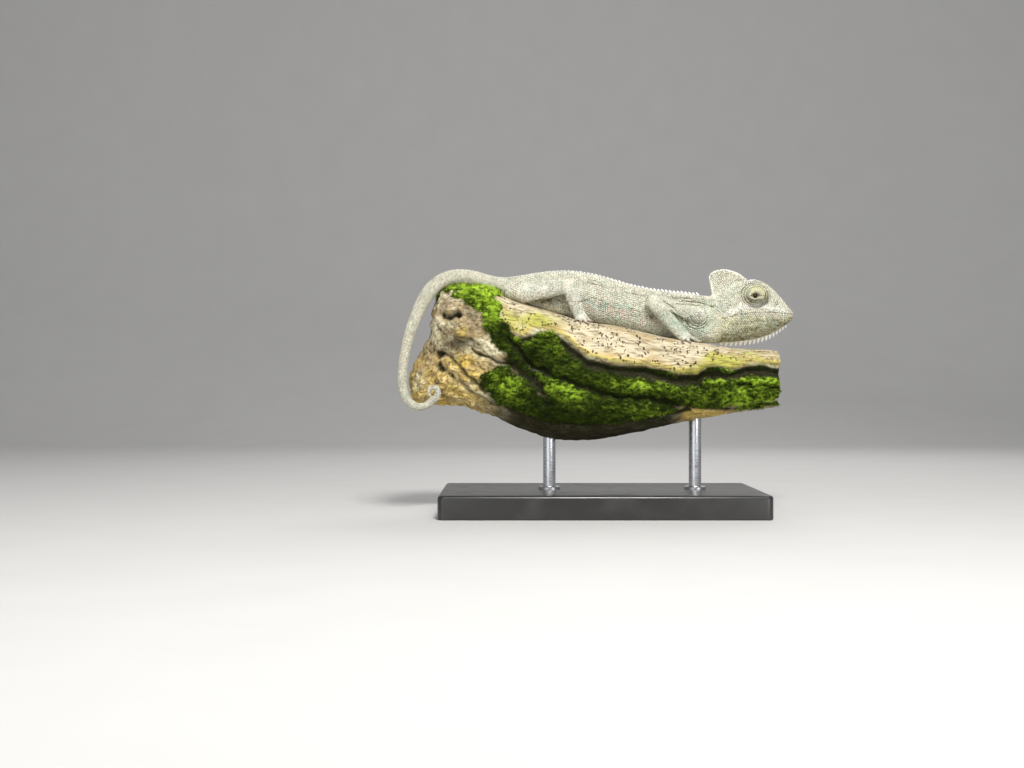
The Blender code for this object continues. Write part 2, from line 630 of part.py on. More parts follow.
for side, mirror in (("right", -1.0), ("left", 1.0)):
    look = Matrix.Rotation(math.radians(-90 * mirror), 4, "X")
    shape = Matrix.Diagonal((TURRET_LONG, 1.0, TURRET_TALL, 1.0))
    place = Matrix.Translation((EYE_X * MM, 0, EYE_Z * MM)) @ shape @ look
    profile = [(0.0, TURRET_PROFILE[0][1] + 0.15)] + TURRET_PROFILE
    turret = turned(f"eye_turret_{side}", profile, 14)
    turret.matrix_basis = place
    room = turned(f"eye_turret_{side}_room", grown(profile, GAP), 14, node=False)
    room.matrix_basis = place
    boolean(head, room)
    centre = Vector((EYE_X - 0.3, mirror * EYEBALL_OUT, EYE_Z - 0.25)) * MM

    def ball(name, radius, segments, rings, **how):
        def build(bm):
            bmesh.ops.create_uvsphere(bm, u_segments=segments, v_segments=rings,
                                      radius=radius * MM)
            bmesh.ops.rotate(bm, verts=bm.verts,
                             matrix=Matrix.Rotation(math.radians(90), 3, "X"))
        made = put(mesh_from(name, build), **how)
        made.location = centre
        return made

    ball(f"eyeball_{side}", EYEBALL_RADIUS, 10, 7, colour=EYE)
    pocket = ball(f"eye_pocket_{side}", EYEBALL_RADIUS + GAP, 10, 7, node=False)
    boolean(turret, pocket)
    wide, tall = LID_OPENING
    ring = [(EYE_X - 0.7 + wide * math.cos(a), 0.0, EYE_Z - 0.5 + tall * math.sin(a))
            for a in np.arange(12) / 12 * 2 * math.pi]
    lids = loft(f"lid_opening_{side}",
                [[(x, mirror * 7.4, z) for x, _, z in ring],
                 [(x, mirror * 12.0, z) for x, _, z in ring]], node=False)
    boolean(turret, lids)

bpy.context.view_layer.update()
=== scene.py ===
# %% [markdown]
# # A veiled chameleon resting on driftwood
# This lesson dresses a plain CAD model as a museum would dress a study animal: one
# soft skin over the whole body, a coat of small granular scales on that skin, eyes deep
# in their lids, horny claws and spines, and a mossy piece of driftwood on a plain stand.
# The CAD model gives every size and place. It is loaded first and never moved.

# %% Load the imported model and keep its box
import math

import bpy
import numpy as np
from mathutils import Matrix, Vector


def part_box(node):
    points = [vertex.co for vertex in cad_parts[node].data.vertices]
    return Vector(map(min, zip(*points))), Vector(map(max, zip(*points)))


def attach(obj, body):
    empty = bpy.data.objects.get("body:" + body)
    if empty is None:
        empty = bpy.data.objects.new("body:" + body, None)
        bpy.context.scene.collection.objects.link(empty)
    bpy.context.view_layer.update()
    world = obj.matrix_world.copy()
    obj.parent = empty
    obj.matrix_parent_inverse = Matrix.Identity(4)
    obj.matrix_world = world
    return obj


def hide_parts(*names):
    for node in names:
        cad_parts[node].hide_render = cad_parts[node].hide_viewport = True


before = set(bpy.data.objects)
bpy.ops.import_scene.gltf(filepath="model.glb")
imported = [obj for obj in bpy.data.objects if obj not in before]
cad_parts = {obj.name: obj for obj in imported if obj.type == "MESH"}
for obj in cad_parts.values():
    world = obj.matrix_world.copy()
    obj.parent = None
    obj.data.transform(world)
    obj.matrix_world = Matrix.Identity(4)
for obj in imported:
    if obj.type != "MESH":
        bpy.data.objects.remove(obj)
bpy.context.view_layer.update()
MM = 0.001
TURN = 2 * math.pi

# %% [markdown]
# ## Tools for surfaces
# Every form here is a function of two numbers, such as a place along a limb and a turn
# round it, worked out for a whole grid at once. Lengths are millimetres until a mesh is
# made. A few named stations and a smooth curve through them describe a body better than
# thousands of points would, and the same stations stay easy to change.

# %% A smooth curve through named stations
def through(t, knots, values):
    """A cubic between each two knots, whose slope at a knot is its neighbours' mean."""
    knots = np.asarray(knots, float)
    values = np.asarray(values, float)
    t = np.asarray(t, float)
    slope = np.gradient(values, knots, axis=0)
    i = np.clip(np.searchsorted(knots, t, side="right") - 1, 0, len(knots) - 2)
    span = knots[i + 1] - knots[i]
    u = (t - knots[i]) / span
    if values.ndim > 1:
        u, span = u[..., None], span[..., None]
    blend = 3 * u**2 - 2 * u**3
    rise = (u**3 - 2 * u**2 + u) * span * slope[i]
    fall = (u**3 - u**2) * span * slope[i + 1]
    return (1 - blend) * values[i] + rise + blend * values[i + 1] + fall


def unit(vectors):
    """Vectors shortened or stretched to length one."""
    return vectors / np.maximum(np.linalg.norm(vectors, axis=-1, keepdims=True), 1e-12)


# %% Steps, windows and bells
def ease(value, low, high):
    """0 below low, 1 above high, and a smooth S between."""
    share = np.clip((value - low) / (high - low), 0, 1)
    return share * share * (3 - 2 * share)


def window(value, rise, fall):
    """1 in a window of values: up from 0 over the span rise, and back over the span fall."""
    return ease(value, *rise) * (1 - ease(value, *fall))


def bell(distance, width):
    """1 at no distance, fading to nothing over about twice the width."""
    return np.exp(-((distance / width) ** 2))


def spot(x, z, centre, radii):
    """A bell in the side view, 1 at its centre."""
    return np.exp(-(((x - centre[0]) / radii[0]) ** 2 + ((z - centre[1]) / radii[1]) ** 2))


# %% Noise for wood, folds and skin
CORNER_KEYS, SCRAMBLE = np.array([73856093, 19349663, 83492791]), 1274126177  # primes


def noise(points, size, seed=0):
    """Value noise from -1 to 1: a random number at each corner of a lattice with cells
    of the given size, blended by a smooth step along each direction."""
    place = np.asarray(points, float) / size + 31.7 * seed
    cell = np.floor(place).astype(np.int64)
    part = place - cell
    part = part * part * (3 - 2 * part)
    total = np.zeros(place.shape[:-1])
    for corner in range(8):
        step = np.array([corner & 1, corner >> 1 & 1, corner >> 2 & 1])
        key = (cell + step) @ CORNER_KEYS
        key = (key ^ (key >> 13)) * SCRAMBLE
        value = ((key ^ (key >> 16)) & 0xFFFF) / 32767.5 - 1
        total += np.prod(np.where(step, part, 1 - part), axis=-1) * value
    return total


def fractal(points, size, octaves=3, seed=0):
    """Noise with finer noise on it: each octave has half the cell and half the height."""
    return sum(noise(points, size / 2**k, seed + k) / 2**k for k in range(octaves))


def chance(count, seed):
    """Repeatable random shares between 0 and 1."""
    return np.random.default_rng(seed).random(count)


# %% Points and faces
def strip(rows, columns):
    """Quads of a grid stored row by row, whose last column joins its first."""
    r, c = np.meshgrid(np.arange(rows - 1), np.arange(columns), indexing="ij")
    a = r * columns + c
    b = r * columns + (c + 1) % columns
    return np.stack([a, b, b + columns, a + columns], -1).reshape(-1, 4)


def volume(points, faces):
    """Signed volume: the sum of the tetrahedra from the origin to each face."""
    total = 0.0
    for face in faces:
        for k in range(1, face.shape[1] - 1):
            a, b, c = (points[face[:, j]] for j in (0, k, k + 1))
            total += np.einsum("ij,ij->", a, np.cross(b, c)) / 6
    return total


def shell(grid):
    """Points and faces of a closed form: rings of points, and a fan at each end."""
    rows, columns, _ = grid.shape
    points = np.concatenate([grid.reshape(-1, 3), grid[[0, -1]].mean(axis=1)])
    ring = np.arange(columns)
    after = (ring + 1) % columns
    last = (rows - 1) * columns
    near = np.stack([np.full(columns, rows * columns), after, ring], 1)
    far = np.stack([np.full(columns, rows * columns + 1), last + ring, last + after], 1)
    faces = [strip(rows, columns), np.concatenate([near, far])]
    if volume(points, faces) < 0:
        faces = [face[:, ::-1] for face in faces]
    return points, faces


def joined(shells):
    """Several forms as one set of points and faces."""
    starts = np.cumsum([0] + [len(points) for points, _ in shells])
    faces = [face + start for start, (_, many) in zip(starts, shells) for face in many]
    return np.concatenate([points for points, _ in shells]), faces


# %% Meshes and their place in the scene
def triangle_count(faces):
    """How many triangles a list of face arrays makes."""
    return sum(len(face) * (face.shape[1] - 2) for face in faces)


def mesh_of(name, points, faces, unit_size=MM):
    """A smooth-shaded mesh from points and a list of face arrays (count, corners)."""
    mesh = bpy.data.meshes.new(name)
    corners = np.concatenate([face.ravel() for face in faces]).astype(np.int32)
    sizes = np.concatenate([np.full(len(face), face.shape[1]) for face in faces])
    mesh.vertices.add(len(points))
    mesh.vertices.foreach_set("co", (np.asarray(points) * unit_size).astype(np.float32).ravel())
    mesh.loops.add(len(corners))
    mesh.loops.foreach_set("vertex_index", corners)
    mesh.polygons.add(len(sizes))
    mesh.polygons.foreach_set("loop_start", (np.cumsum(sizes) - sizes).astype(np.int32))
    mesh.update(calc_edges=True)
    mesh.shade_smooth()
    return mesh


def add_values(mesh, values):
    """Named numbers on the points of a mesh, for its material to read."""
    for name, numbers in values.items():
        layer = mesh.attributes.new(name, "FLOAT", "POINT")
        layer.data.foreach_set("value", np.asarray(numbers, np.float32))


def new_object(name, data):
    """An object in the scene."""
    made = bpy.data.objects.new(name, data)
    bpy.context.scene.collection.objects.link(made)
    return made


def piece(name, mesh, material, replaces=()):
    """A finished piece that rides on the still body of the model."""
    made = new_object(name, mesh)
    mesh.materials.append(material)
    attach(made, "root")
    if replaces:
        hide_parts(*replaces)
    return made


# %% Modifiers on a scratch mesh
def read(items, key, width=1, kind=np.float32):
    """One property of all the items of a mesh, a row for each."""
    numbers = np.empty(len(items) * width, kind)
    items.foreach_get(key, numbers)
    return numbers.reshape(-1, width) if width > 1 else numbers


def through_modifiers(points, faces, *modifiers):
    """The points and triangles that modifiers make of a mesh, in millimetres."""
    scratch = new_object("scratch", mesh_of("scratch", points, faces, 1.0))
    for kind, settings in modifiers:
        modifier = scratch.modifiers.new(kind, kind)
        for key, value in settings.items():
            setattr(modifier, key, value)
    graph = bpy.context.evaluated_depsgraph_get()
    shape = scratch.evaluated_get(graph).to_mesh()
    shape.calc_loop_triangles()
    points, triangles = read(shape.vertices, "co", 3), read(shape.loop_triangles, "vertices", 3, np.int32)
    bpy.data.meshes.remove(scratch.data)
    return points.astype(float), triangles


def point_normals(points, triangles):
    """The mean direction of the faces round each point, larger faces counting more."""
    a, b, c = (points[triangles[:, k]] for k in range(3))
    square = np.cross(b - a, c - a)
    total = [sum(np.bincount(triangles[:, k], square[:, j], len(points)) for k in range(3))
             for j in range(3)]
    return unit(np.stack(total, 1))


def smoothed(points, triangles, rounds, pull=0.5, push=-0.52):
    """Each point moves towards its neighbours' mean, then a little further back, which
    smooths a surface without shrinking it."""
    pairs = np.sort(np.concatenate([triangles[:, [k, (k + 1) % 3]] for k in range(3)]), 1)
    key = np.unique(pairs[:, 0].astype(np.int64) * len(points) + pairs[:, 1])
    a, b = key // len(points), key % len(points)
    count = np.bincount(a, minlength=len(points)) + np.bincount(b, minlength=len(points))
    for step in [pull, push] * rounds:
        total = [np.bincount(a, points[b, k], len(points)) + np.bincount(b, points[a, k], len(points))
                 for k in range(3)]
        points = points + step * (np.stack(total, 1) / count[:, None] - points)
    return points


# %% [markdown]
# ## The body's own lines
# These are the lines an anatomist would draw: the height of the back and belly, the
# width of the flanks, the contours of the skull, the casque's rim, the way the tail
# heads, and the joints of the legs. They are the same lines as the CAD solids have, so
# the skin lands where the solids say, but here they are read smoothly.

# %% Trunk and tail
TRUNK_X = [-46.0, -35.6, -23.7, -11.9, 0.0, 14.2, 28.4, 40.3, 49.8, 57.8]
BACK_Z = [110.9, 112.5, 114.1, 114.1, 111.9, 107.8, 104.9, 103.7, 102.5, 101.8]
BELLY_Z = [101.9, 98.0, 94.4, 91.2, 89.3, 86.3, 82.7, 80.9, 80.2, 80.6]
HALF_WIDTH = [4.9, 6.2, 7.2, 8.4, 9.0, 9.1, 8.7, 8.2, 7.2, 7.2]
WAIST = 0.44  # the widest level's height, as a share from belly to ridge
TAIL_START = (-44.5, 106.6)
TAIL_LENGTH = 121.1
TURN_AT = [0.0, 13.3, 22.9, 32.4, 42.0, 57.2, 76.3, 86.8, 95.4, 103.0, 109.7, 116.3, 121.1]
TURN_TO = [172.7, 162.8, 181.4, 212.8, 238.4, 250.9, 264.7, 279.1, 321.5, 388.7, 421.8,
           574.6, 707.5]
THICK_AT = [0.0, 7.2, 19.6, 33.5, 48.9, 68.8, 85.5, 95.4, 102.8, 110.2, 114.4, 118.3, 121.1]
THICK = [4.4, 3.9, 3.6, 3.5, 3.0, 2.4, 2.15, 1.95, 1.75, 1.6, 1.3, 0.85, 0.55]
SWAY_AT = [0.0, 15.0, 30.0, 45.0, 60.0, 80.0, 95.0, 108.0, 121.1]
SWAY = [0.0, -0.4, -1.4, -3.6, -5.8, -7.6, -8.4, -8.9, -9.0]
ARC = np.linspace(0, TAIL_LENGTH, 1201)
HEADING = np.radians(through(ARC, TURN_AT, TURN_TO))
TAIL_X = TAIL_START[0] + np.concatenate([[0], np.cumsum(np.cos(HEADING[:-1]))]) * ARC[1]
TAIL_Z = TAIL_START[1] + np.concatenate([[0], np.cumsum(np.sin(HEADING[:-1]))]) * ARC[1]


def trunk(x, turn):
    """Section at x: a sharp ridge above, round flanks, a boxy belly. The turn starts at
    the ridge and goes down the right side first."""
    x, turn = np.broadcast_arrays(x, turn)
    top, low, half = (through(x, TRUNK_X, line) for line in (BACK_Z, BELLY_Z, HALF_WIDTH))
    middle = low + WAIST * (top - low)
    c, s = -np.sin(turn), np.cos(turn)
    y = half * np.sign(c) * np.abs(c) ** np.where(s > 0, 1.25, 0.85)
    z = middle + np.where(s > 0, (top - middle) * s, (middle - low) * s)
    return np.stack([x, y, z], -1)


def tail(s, turn):
    """Section at arc length s, square to the way the tail heads there, an ellipse."""
    s, turn = np.broadcast_arrays(s, turn)
    x, z, heading = (np.interp(s, ARC, line) for line in (TAIL_X, TAIL_Z, HEADING))
    heading = math.pi + (heading - math.pi) * np.minimum(s / 8.0, 1.0)
    thick = through(s, THICK_AT, THICK)
    out = np.sin(turn) * thick
    y = through(s, SWAY_AT, SWAY) + np.cos(turn) * thick * np.interp(s, [0, 12, 90], [1.07, 0.95, 0.92])
    return np.stack([x + np.sin(heading) * out, y, z - np.cos(heading) * out], -1)


# %% Head and casque lines
HEAD_X = [52.5, 57.8, 65.4, 73.0, 80.0, 85.0, 89.0, 91.4]
HEAD_LINES = [
    ([102.6, 105.3, 108.7, 109.5, 106.8, 102.2, 97.4, 94.8], [0] * 8),
    ([101.6, 104.2, 107.8, 109.6, 106.6, 101.8, 97.0, 94.6],
     [1.8, 2.2, 2.9, 3.3, 2.7, 2.0, 1.3, 0.5]),
    ([99.0, 101.6, 104.3, 105.0, 102.8, 99.3, 95.9, 94.2],
     [4.6, 4.7, 5.0, 4.9, 4.0, 3.1, 2.1, 0.8]),
    ([95.2, 97.4, 97.7, 97.3, 97.2, 96.3, 94.6, 93.7],
     [6.6, 6.7, 7.0, 6.2, 5.4, 4.3, 2.8, 1.0]),
    ([92.8, 94.5, 95.8, 96.2, 96.0, 95.1, 93.8, 93.2],
     [7.3, 7.9, 8.4, 8.1, 6.6, 4.9, 3.2, 1.1]),
    ([90.4, 91.4, 91.9, 92.1, 92.2, 92.3, 92.5, 92.7],
     [7.5, 8.2, 8.7, 8.2, 6.7, 5.1, 3.3, 1.1]),
    ([87.0, 87.8, 88.0, 88.0, 88.6, 89.5, 91.1, 92.2],
     [7.2, 7.6, 7.9, 7.4, 6.0, 4.4, 2.7, 0.8]),
    ([83.0, 83.2, 83.6, 84.2, 85.8, 87.8, 89.9, 91.8],
     [4.9, 4.9, 4.9, 4.3, 3.4, 2.4, 1.4, 0.4]),
    ([80.3, 80.2, 80.9, 82.0, 84.1, 86.7, 89.3, 91.5], [0] * 8),
]
NAPE_X, NAPE_Z, NAPE_TALL, NAPE_WIDE = 48.5, 92.0, 0.86, 0.8
RIM_X = [53.3, 52.6, 52.1, 51.7, 51.9, 53.0, 55.0, 57.8, 60.7, 64.0, 66.4, 68.7, 71.1]
RIM_Z = [101.6, 105.6, 108.8, 110.9, 112.3, 113.4, 114.4, 114.9, 114.7, 113.7, 112.5,
         110.9, 109.1]
RIM_DEPTH = [0.0, 0.12, 0.45, 0.9, 1.3, 4.0, 8.0, 11.5]
RIM_HALF = [0.0, 0.5, 0.75, 0.72, 0.6, 1.35, 2.7, 3.9]
BLADE_ROOT = ((57.5, 98.5), (68.5, 102.5))
BLADE_ROOT_HALF = 4.2

# %% Head and casque surfaces
heights = np.array([line for line, _ in HEAD_LINES], float).T
outs = np.array([line for _, line in HEAD_LINES], float).T
heights = np.concatenate([[NAPE_Z + NAPE_TALL * (heights[0] - NAPE_Z)], heights])
outs = np.concatenate([[NAPE_WIDE * outs[0]], outs])
SKULL_X = [NAPE_X] + HEAD_X
SKULL_Z = np.concatenate([heights, heights[:, 7:0:-1]], axis=1)
SKULL_Y = np.concatenate([-outs, outs[:, 7:0:-1]], axis=1)
print("skull:", SKULL_Z.shape[1], "contours at", SKULL_Z.shape[0], "stations")


def head(x, share):
    """Section at x: the contour lines down the right side and up the left, joined by a
    closed cubic. share is 0 at the roof and 0.5 at the keel of the throat."""
    x, share = np.broadcast_arrays(x, share)
    count = SKULL_Z.shape[1]
    line = np.floor(share * count).astype(int)
    f = share * count - line
    weights = [-0.5 * f + f**2 - 0.5 * f**3, 1 - 2.5 * f**2 + 1.5 * f**3,
               0.5 * f + 2 * f**2 - 1.5 * f**3, -0.5 * f**2 + 0.5 * f**3]
    out = [x]
    for table in (SKULL_Y, SKULL_Z):
        at = through(x, SKULL_X, table)
        picked = [np.take_along_axis(at, ((line + k) % count)[..., None], -1)[..., 0]
                  for k in (-1, 0, 1, 2)]
        out.append(sum(w * p for w, p in zip(weights, picked)))
    return np.stack(out, -1)


def casque(along, share):
    """The blade: along runs from the nape round the rim to the brow. share goes from
    the rim down the left side to the root at 0.5, and up the right side back to it."""
    along, share = np.broadcast_arrays(along, share)
    stations = np.linspace(0, 1, len(RIM_X))
    rim = np.stack([through(along, stations, RIM_X), through(along, stations, RIM_Z)], -1)
    root = np.array(BLADE_ROOT[0]) + along[..., None] * np.subtract(BLADE_ROOT[1], BLADE_ROOT[0])
    reach = np.linalg.norm(root - rim, axis=-1)
    deep = np.clip(1 - np.abs(share - 0.5) * 2, 0, 1)
    depth = deep**1.3 * reach
    half = np.interp(depth, RIM_DEPTH, RIM_HALF)
    half = np.where(depth > RIM_DEPTH[-1], BLADE_ROOT_HALF, half)
    half = np.minimum(half, BLADE_ROOT_HALF) * (1 - 0.35 * along)
    place = rim + unit(root - rim) * depth[..., None]
    return np.stack([place[..., 0], half * np.sign(0.5 - share), place[..., 1]], -1)


# %% Driftwood, as far as the body needs it
LOG_X = [-90.3, -88.5, -85.6, -82.4, -79.4, -77.8, -75.6, -71.5, -64.0, -52.0, -42.7,
         -28.4, -9.5, 9.5, 28.4, 47.4, 65.0, 82.0]
LOG_TOP = [60.5, 66.5, 73.2, 80.5, 87.5, 97.5, 104.0, 106.4, 106.9, 105.6, 100.7,
           96.2, 90.6, 87.6, 83.0, 79.9, 77.2, 76.2]
LOG_BASE = [55.5, 53.0, 51.6, 51.2, 50.9, 50.8, 50.7, 50.3, 49.5, 46.5, 41.7,
            36.5, 34.4, 36.6, 40.8, 44.6, 47.6, 49.6]
LOG_HALF = [4.5, 8.0, 10.5, 11.8, 12.6, 13.0, 13.6, 14.3, 15.0, 16.6, 18.0,
            20.2, 21.6, 21.8, 21.4, 20.2, 18.8, 17.4]
LOG_MIDDLE = [7.0, 7.0, 6.8, 6.5, 6.2, 6.0, 5.8, 5.4, 4.7, 3.2, 2.0,
              0.6, -0.4, -0.8, -0.7, -0.4, 0.0, 0.0]
LOG_FLAT, LOG_ROUND = 5.0, 2.3


def log_measures(x):
    """Waist height, half height, half depth and middle line of the wood at x."""
    top, low, half, middle = (through(x, LOG_X, line)
                              for line in (LOG_TOP, LOG_BASE, LOG_HALF, LOG_MIDDLE))
    return (top + low) / 2, (top - low) / 2, half, middle


def log_top(x, y):
    """Height of the wood's upper surface at (x, y), from the equation of its section."""
    waist, tall, half, middle = log_measures(x)
    out = np.minimum(np.abs(y - middle) / half, 0.98)
    return waist + tall * (1 - out**LOG_FLAT) ** (1 / LOG_FLAT)


def log_depth(points):
    """Below 1 inside the wood, above 1 outside: the section's own power sum."""
    waist, tall, half, middle = log_measures(points[..., 0])
    across = np.abs(points[..., 1] - middle) / half
    up = (points[..., 2] - waist) / tall
    power = np.where(up > 0, LOG_FLAT, LOG_ROUND)
    return (across**power + np.abs(up) ** power) ** (1 / power)


# %% Legs and feet
JOINTS = {"shoulder": (45.5, -5.2, 92.3), "elbow": (23.4, -12.2, 99.0), "wrist": (37.6, -13.3, 83.5),
          "hip": (-34.0, -4.7, 103.8), "knee": (-15.3, -11.6, 106.3), "ankle": (-10.6, -13.2, 93.8)}
LEG_SHAPES = {
    "foreleg_upper": ([3.8, 4.3, 4.0, 3.6, 3.2], [0.9, 0.9, 0.9, 0.9, 0.95]),
    "foreleg_lower": ([3.0, 3.35, 3.4, 3.1, 2.9], [0.95, 0.95, 0.9, 0.9, 0.95]),
    "hindleg_upper": ([6.0, 5.4, 4.4, 3.7, 3.4], [0.56, 0.62, 0.76, 0.9, 0.95]),
    "hindleg_lower": ([3.1, 3.4, 3.3, 3.1, 2.9], [0.92, 0.9, 0.9, 0.9, 0.95]),
}
LEFT_SHIFT = {"elbow": (1.4, 0.3, -0.8), "wrist": (2.2, 0.0, -0.5),
              "knee": (-1.6, 0.2, -0.9), "ankle": (1.4, 0.2, -0.4)}
FORE_TOES = [(6.6, -1.2), (6.2, -3.6), (4.4, -5.0), (1.6, 3.0), (-1.4, 3.4)]
HIND_TOES = [(4.2, -1.0), (3.4, -3.8), (-2.6, 3.1), (-0.4, 3.7), (2.4, 3.4)]
TOE_RADIUS, TOE_SHAPE = 0.9, (1, 1.12, 0.98, 1.05, 0.9)
PALM = np.array([3.2, 2.7, 2.1])
PALM_RISE, TOE_RISE = 0.85, 0.75  # heights over the wood, as shares of the radii
# a claw's curve from the toe's tip: how far ahead, and how far up
CLAW_CURVE = [(-0.5, 0.0), (0.55, 0.1), (1.25, -0.25), (1.7, -0.85)]
ACROSS_LIMB, NUDGE = (0.1, 0.35, 1.0), 0.05


# %% Limb and ball surfaces
def limb(path, radii, wide=1.0):
    """A round-ended tube along a path, as a function of (share of length, turn). Its
    radius follows the list, and shrinks as a circle does over each end."""
    path = np.array(path, float)
    knots = np.concatenate([[0], np.cumsum(np.linalg.norm(np.diff(path, axis=0), axis=1))])
    shape_knots = np.linspace(0, knots[-1], len(radii))
    wide = np.broadcast_to(wide, len(radii))

    def surface(t, turn):
        t, turn = np.broadcast_arrays(t, turn)
        along = -radii[0] + t * (knots[-1] + radii[0] + radii[-1])
        inside = np.clip(along, 0, knots[-1])
        over = along - inside
        end = np.where(over < 0, radii[0], radii[-1])
        ahead, behind = (np.clip(inside + step, 0, knots[-1]) for step in (NUDGE, -NUDGE))
        way = unit(through(ahead, knots, path) - through(behind, knots, path))
        side = unit(np.cross(way, ACROSS_LIMB))
        up = np.cross(side, way)
        radius = np.interp(inside, shape_knots, radii) * np.sqrt(np.clip(1 - (over / end) ** 2, 0, 1))
        broad = radius * np.interp(inside, shape_knots, wide)
        centre = through(inside, knots, path) + way * over[..., None]
        return centre + side * (np.cos(turn) * broad)[..., None] + up * (np.sin(turn) * radius)[..., None]

    return surface


def ball(centre, radii):
    """An ellipsoid, as a function of (share from one pole to the other, turn)."""
    def surface(t, turn):
        t, turn = np.broadcast_arrays(t, turn)
        ring = np.sin(t * math.pi)
        way = np.stack([ring * np.cos(turn), ring * np.sin(turn), np.cos(t * math.pi)], -1)
        return np.array(centre) + way * np.array(radii)

    return surface


# %% Both sides' legs, palms, toes and claws
def joint(name, mirror):
    """A joint's centre: the left one is mirrored and moved a little."""
    shift = LEFT_SHIFT.get(name, (0, 0, 0)) if mirror > 0 else (0, 0, 0)
    return np.array(JOINTS[name]) * (1, -mirror, 1) + shift


legs, claws = {}, {}
for side, mirror in (("right", -1.0), ("left", 1.0)):
    for end, knobs, toes in (("fore", ("shoulder", "elbow", "wrist"), FORE_TOES),
                             ("hind", ("hip", "knee", "ankle"), HIND_TOES)):
        top, bend, tip = (joint(name, mirror) for name in knobs)
        legs[f"{end}leg_upper_{side}"] = limb([top, bend], *LEG_SHAPES[end + "leg_upper"])
        legs[f"{end}leg_lower_{side}"] = limb([bend, tip], *LEG_SHAPES[end + "leg_lower"])
        palm = np.array([tip[0] + 1.0, tip[1], 0.0])
        palm[2] = log_top(palm[0], palm[1]) + PALM_RISE * PALM[2]
        legs[f"{end}foot_{side}_palm"] = ball(palm, PALM)
        claws[f"{end}foot_{side}"] = []
        for k, (forward, outward) in enumerate(toes):
            end_at = palm + (forward, outward * mirror, 0.0)
            end_at[2] = log_top(end_at[0], end_at[1]) + TOE_RISE * TOE_RADIUS
            start = palm + (0.12 * forward, 0.12 * outward * mirror, 0.0)
            knuckle = (start + end_at) / 2 + (0, 0, 0.35)
            along = unit(end_at - start)
            legs[f"{end}foot_{side}_toe_{k}"] = limb(
                [start, knuckle, end_at - along * 0.7], [TOE_RADIUS * share for share in TOE_SHAPE])
            claws[f"{end}foot_{side}"].append(
                [end_at + along * ahead + (0, 0, rise) for ahead, rise in CLAW_CURVE])
print("limbs:", len(legs), "surfaces,", sum(map(len, claws.values())), "claws")

# %% [markdown]
# ## Eyes
# A chameleon's lids are fused into a cone that turns with the eye and leaves only a
# small almond opening. The cone could be sculpted, but its folds are rings, so a profile
# carried round an axis gives them exactly: the opening is an almond, and the rings grow
# rounder as they widen.

# %% The lids' cone
EYE = np.array([72.7, 102.5])
LOOK = np.array([-0.7, -0.5])
LID_RADIUS = [1.7, 1.66, 1.82, 2.1, 2.7, 3.5, 4.15, 4.5, 5.2, 5.9, 6.0, 5.6]
LID_OUT = [8.0, 9.2, 9.8, 9.85, 9.6, 8.95, 8.1, 7.3, 6.8, 6.0, 4.6, 2.6]
LID_ROUND = [0.0, 0.0, 0.05, 0.3, 0.7, 1.0, 1.0, 1.0, 1.0, 1.0, 1.0, 1.0]
LID_LONG, LID_TALL = 1.05, 0.91
RING_FROM, RING_STEP, RING_HIGH = 4.75, 1.15, 0.26
RING_SPANS = ((3.9, 4.4), (5.8, 6.1))  # radii where the rings begin and where they end
SEAM_WIDE, SEAM_DEEP = 0.22, 0.28


def from_eye(points):
    """Distance from the eye's middle in the side view, in rings as oval as the lids."""
    return np.hypot((points[:, 0] - EYE[0]) / LID_LONG, (points[:, 2] - EYE[1]) / LID_TALL)


def turret(mirror, shrink=0.0):
    """The lids as (share from inside the opening to the base, turn): height follows a
    profile, its plan goes from an almond to a circle, and folds run round as rings."""
    knots = np.linspace(0, 1, len(LID_RADIUS))

    def surface(t, turn):
        t, turn = np.broadcast_arrays(t, turn)
        radius, out, rounded = (np.interp(t, knots, line) for line in (LID_RADIUS, LID_OUT, LID_ROUND))
        c, s = np.cos(turn), np.sin(turn)
        wave = np.cos(TURN * (radius - RING_FROM) / RING_STEP)
        out = out + RING_HIGH * wave * window(radius, *RING_SPANS)
        seam = bell(radius * s, SEAM_WIDE) * ease(np.abs(radius * c), 2.0, 2.5)
        out = out - SEAM_DEEP * seam * (1 - ease(radius, 3.2, 4.4))
        almond = np.stack([1.34 * c, 0.8 * np.sign(s) * (1 - np.abs(c) ** 1.7)], -1)
        disc = np.stack([LID_LONG * c, LID_TALL * s], -1)
        plan = (1 - rounded)[..., None] * almond + rounded[..., None] * disc
        flat = EYE + LOOK * (1 - rounded)[..., None] + plan * (radius - shrink)[..., None]
        return np.stack([flat[..., 0], mirror * (out - shrink), flat[..., 1]], -1)

    return surface


# %% [markdown]
# ## One skin
# On the live animal there is no joint between head, trunk and legs, so the skin must be
# one surface. Booleans would leave creases of thin faces. Instead the forms are thrown
# together and a voxel remesh wraps them all in one even mesh, which is then smoothed,
# folded and let in by the thickness of the scales that will lie on it.

# %% Wrap the forms in one mesh
def sampled(surface, rows, columns, span=(0.0, 1.0), turns=TURN):
    """A closed form from a surface function, read on an even grid."""
    u = np.linspace(*span, rows)[:, None]
    v = (np.arange(columns) / columns * turns)[None, :]
    return shell(surface(u, v))


VOXEL = 0.27
forms = [
    sampled(trunk, 180, 96, (-45.5, 57.0)),
    sampled(tail, 500, 40, (0.0, TAIL_LENGTH)),
    sampled(head, 120, 128, (NAPE_X, 91.4), 1.0),
    sampled(casque, 90, 96, turns=1.0),
]
forms += [sampled(surface, 60, 32) for surface in legs.values()]
forms += [sampled(turret(mirror, 0.45), 60, 48) for mirror in (-1, 1)]
points, faces = joined(forms)
points, triangles = through_modifiers(
    points, faces, ("REMESH", {"mode": "VOXEL", "voxel_size": VOXEL}))
points = smoothed(points, triangles, 8)
print("wrapped in one mesh:", len(points), "points")

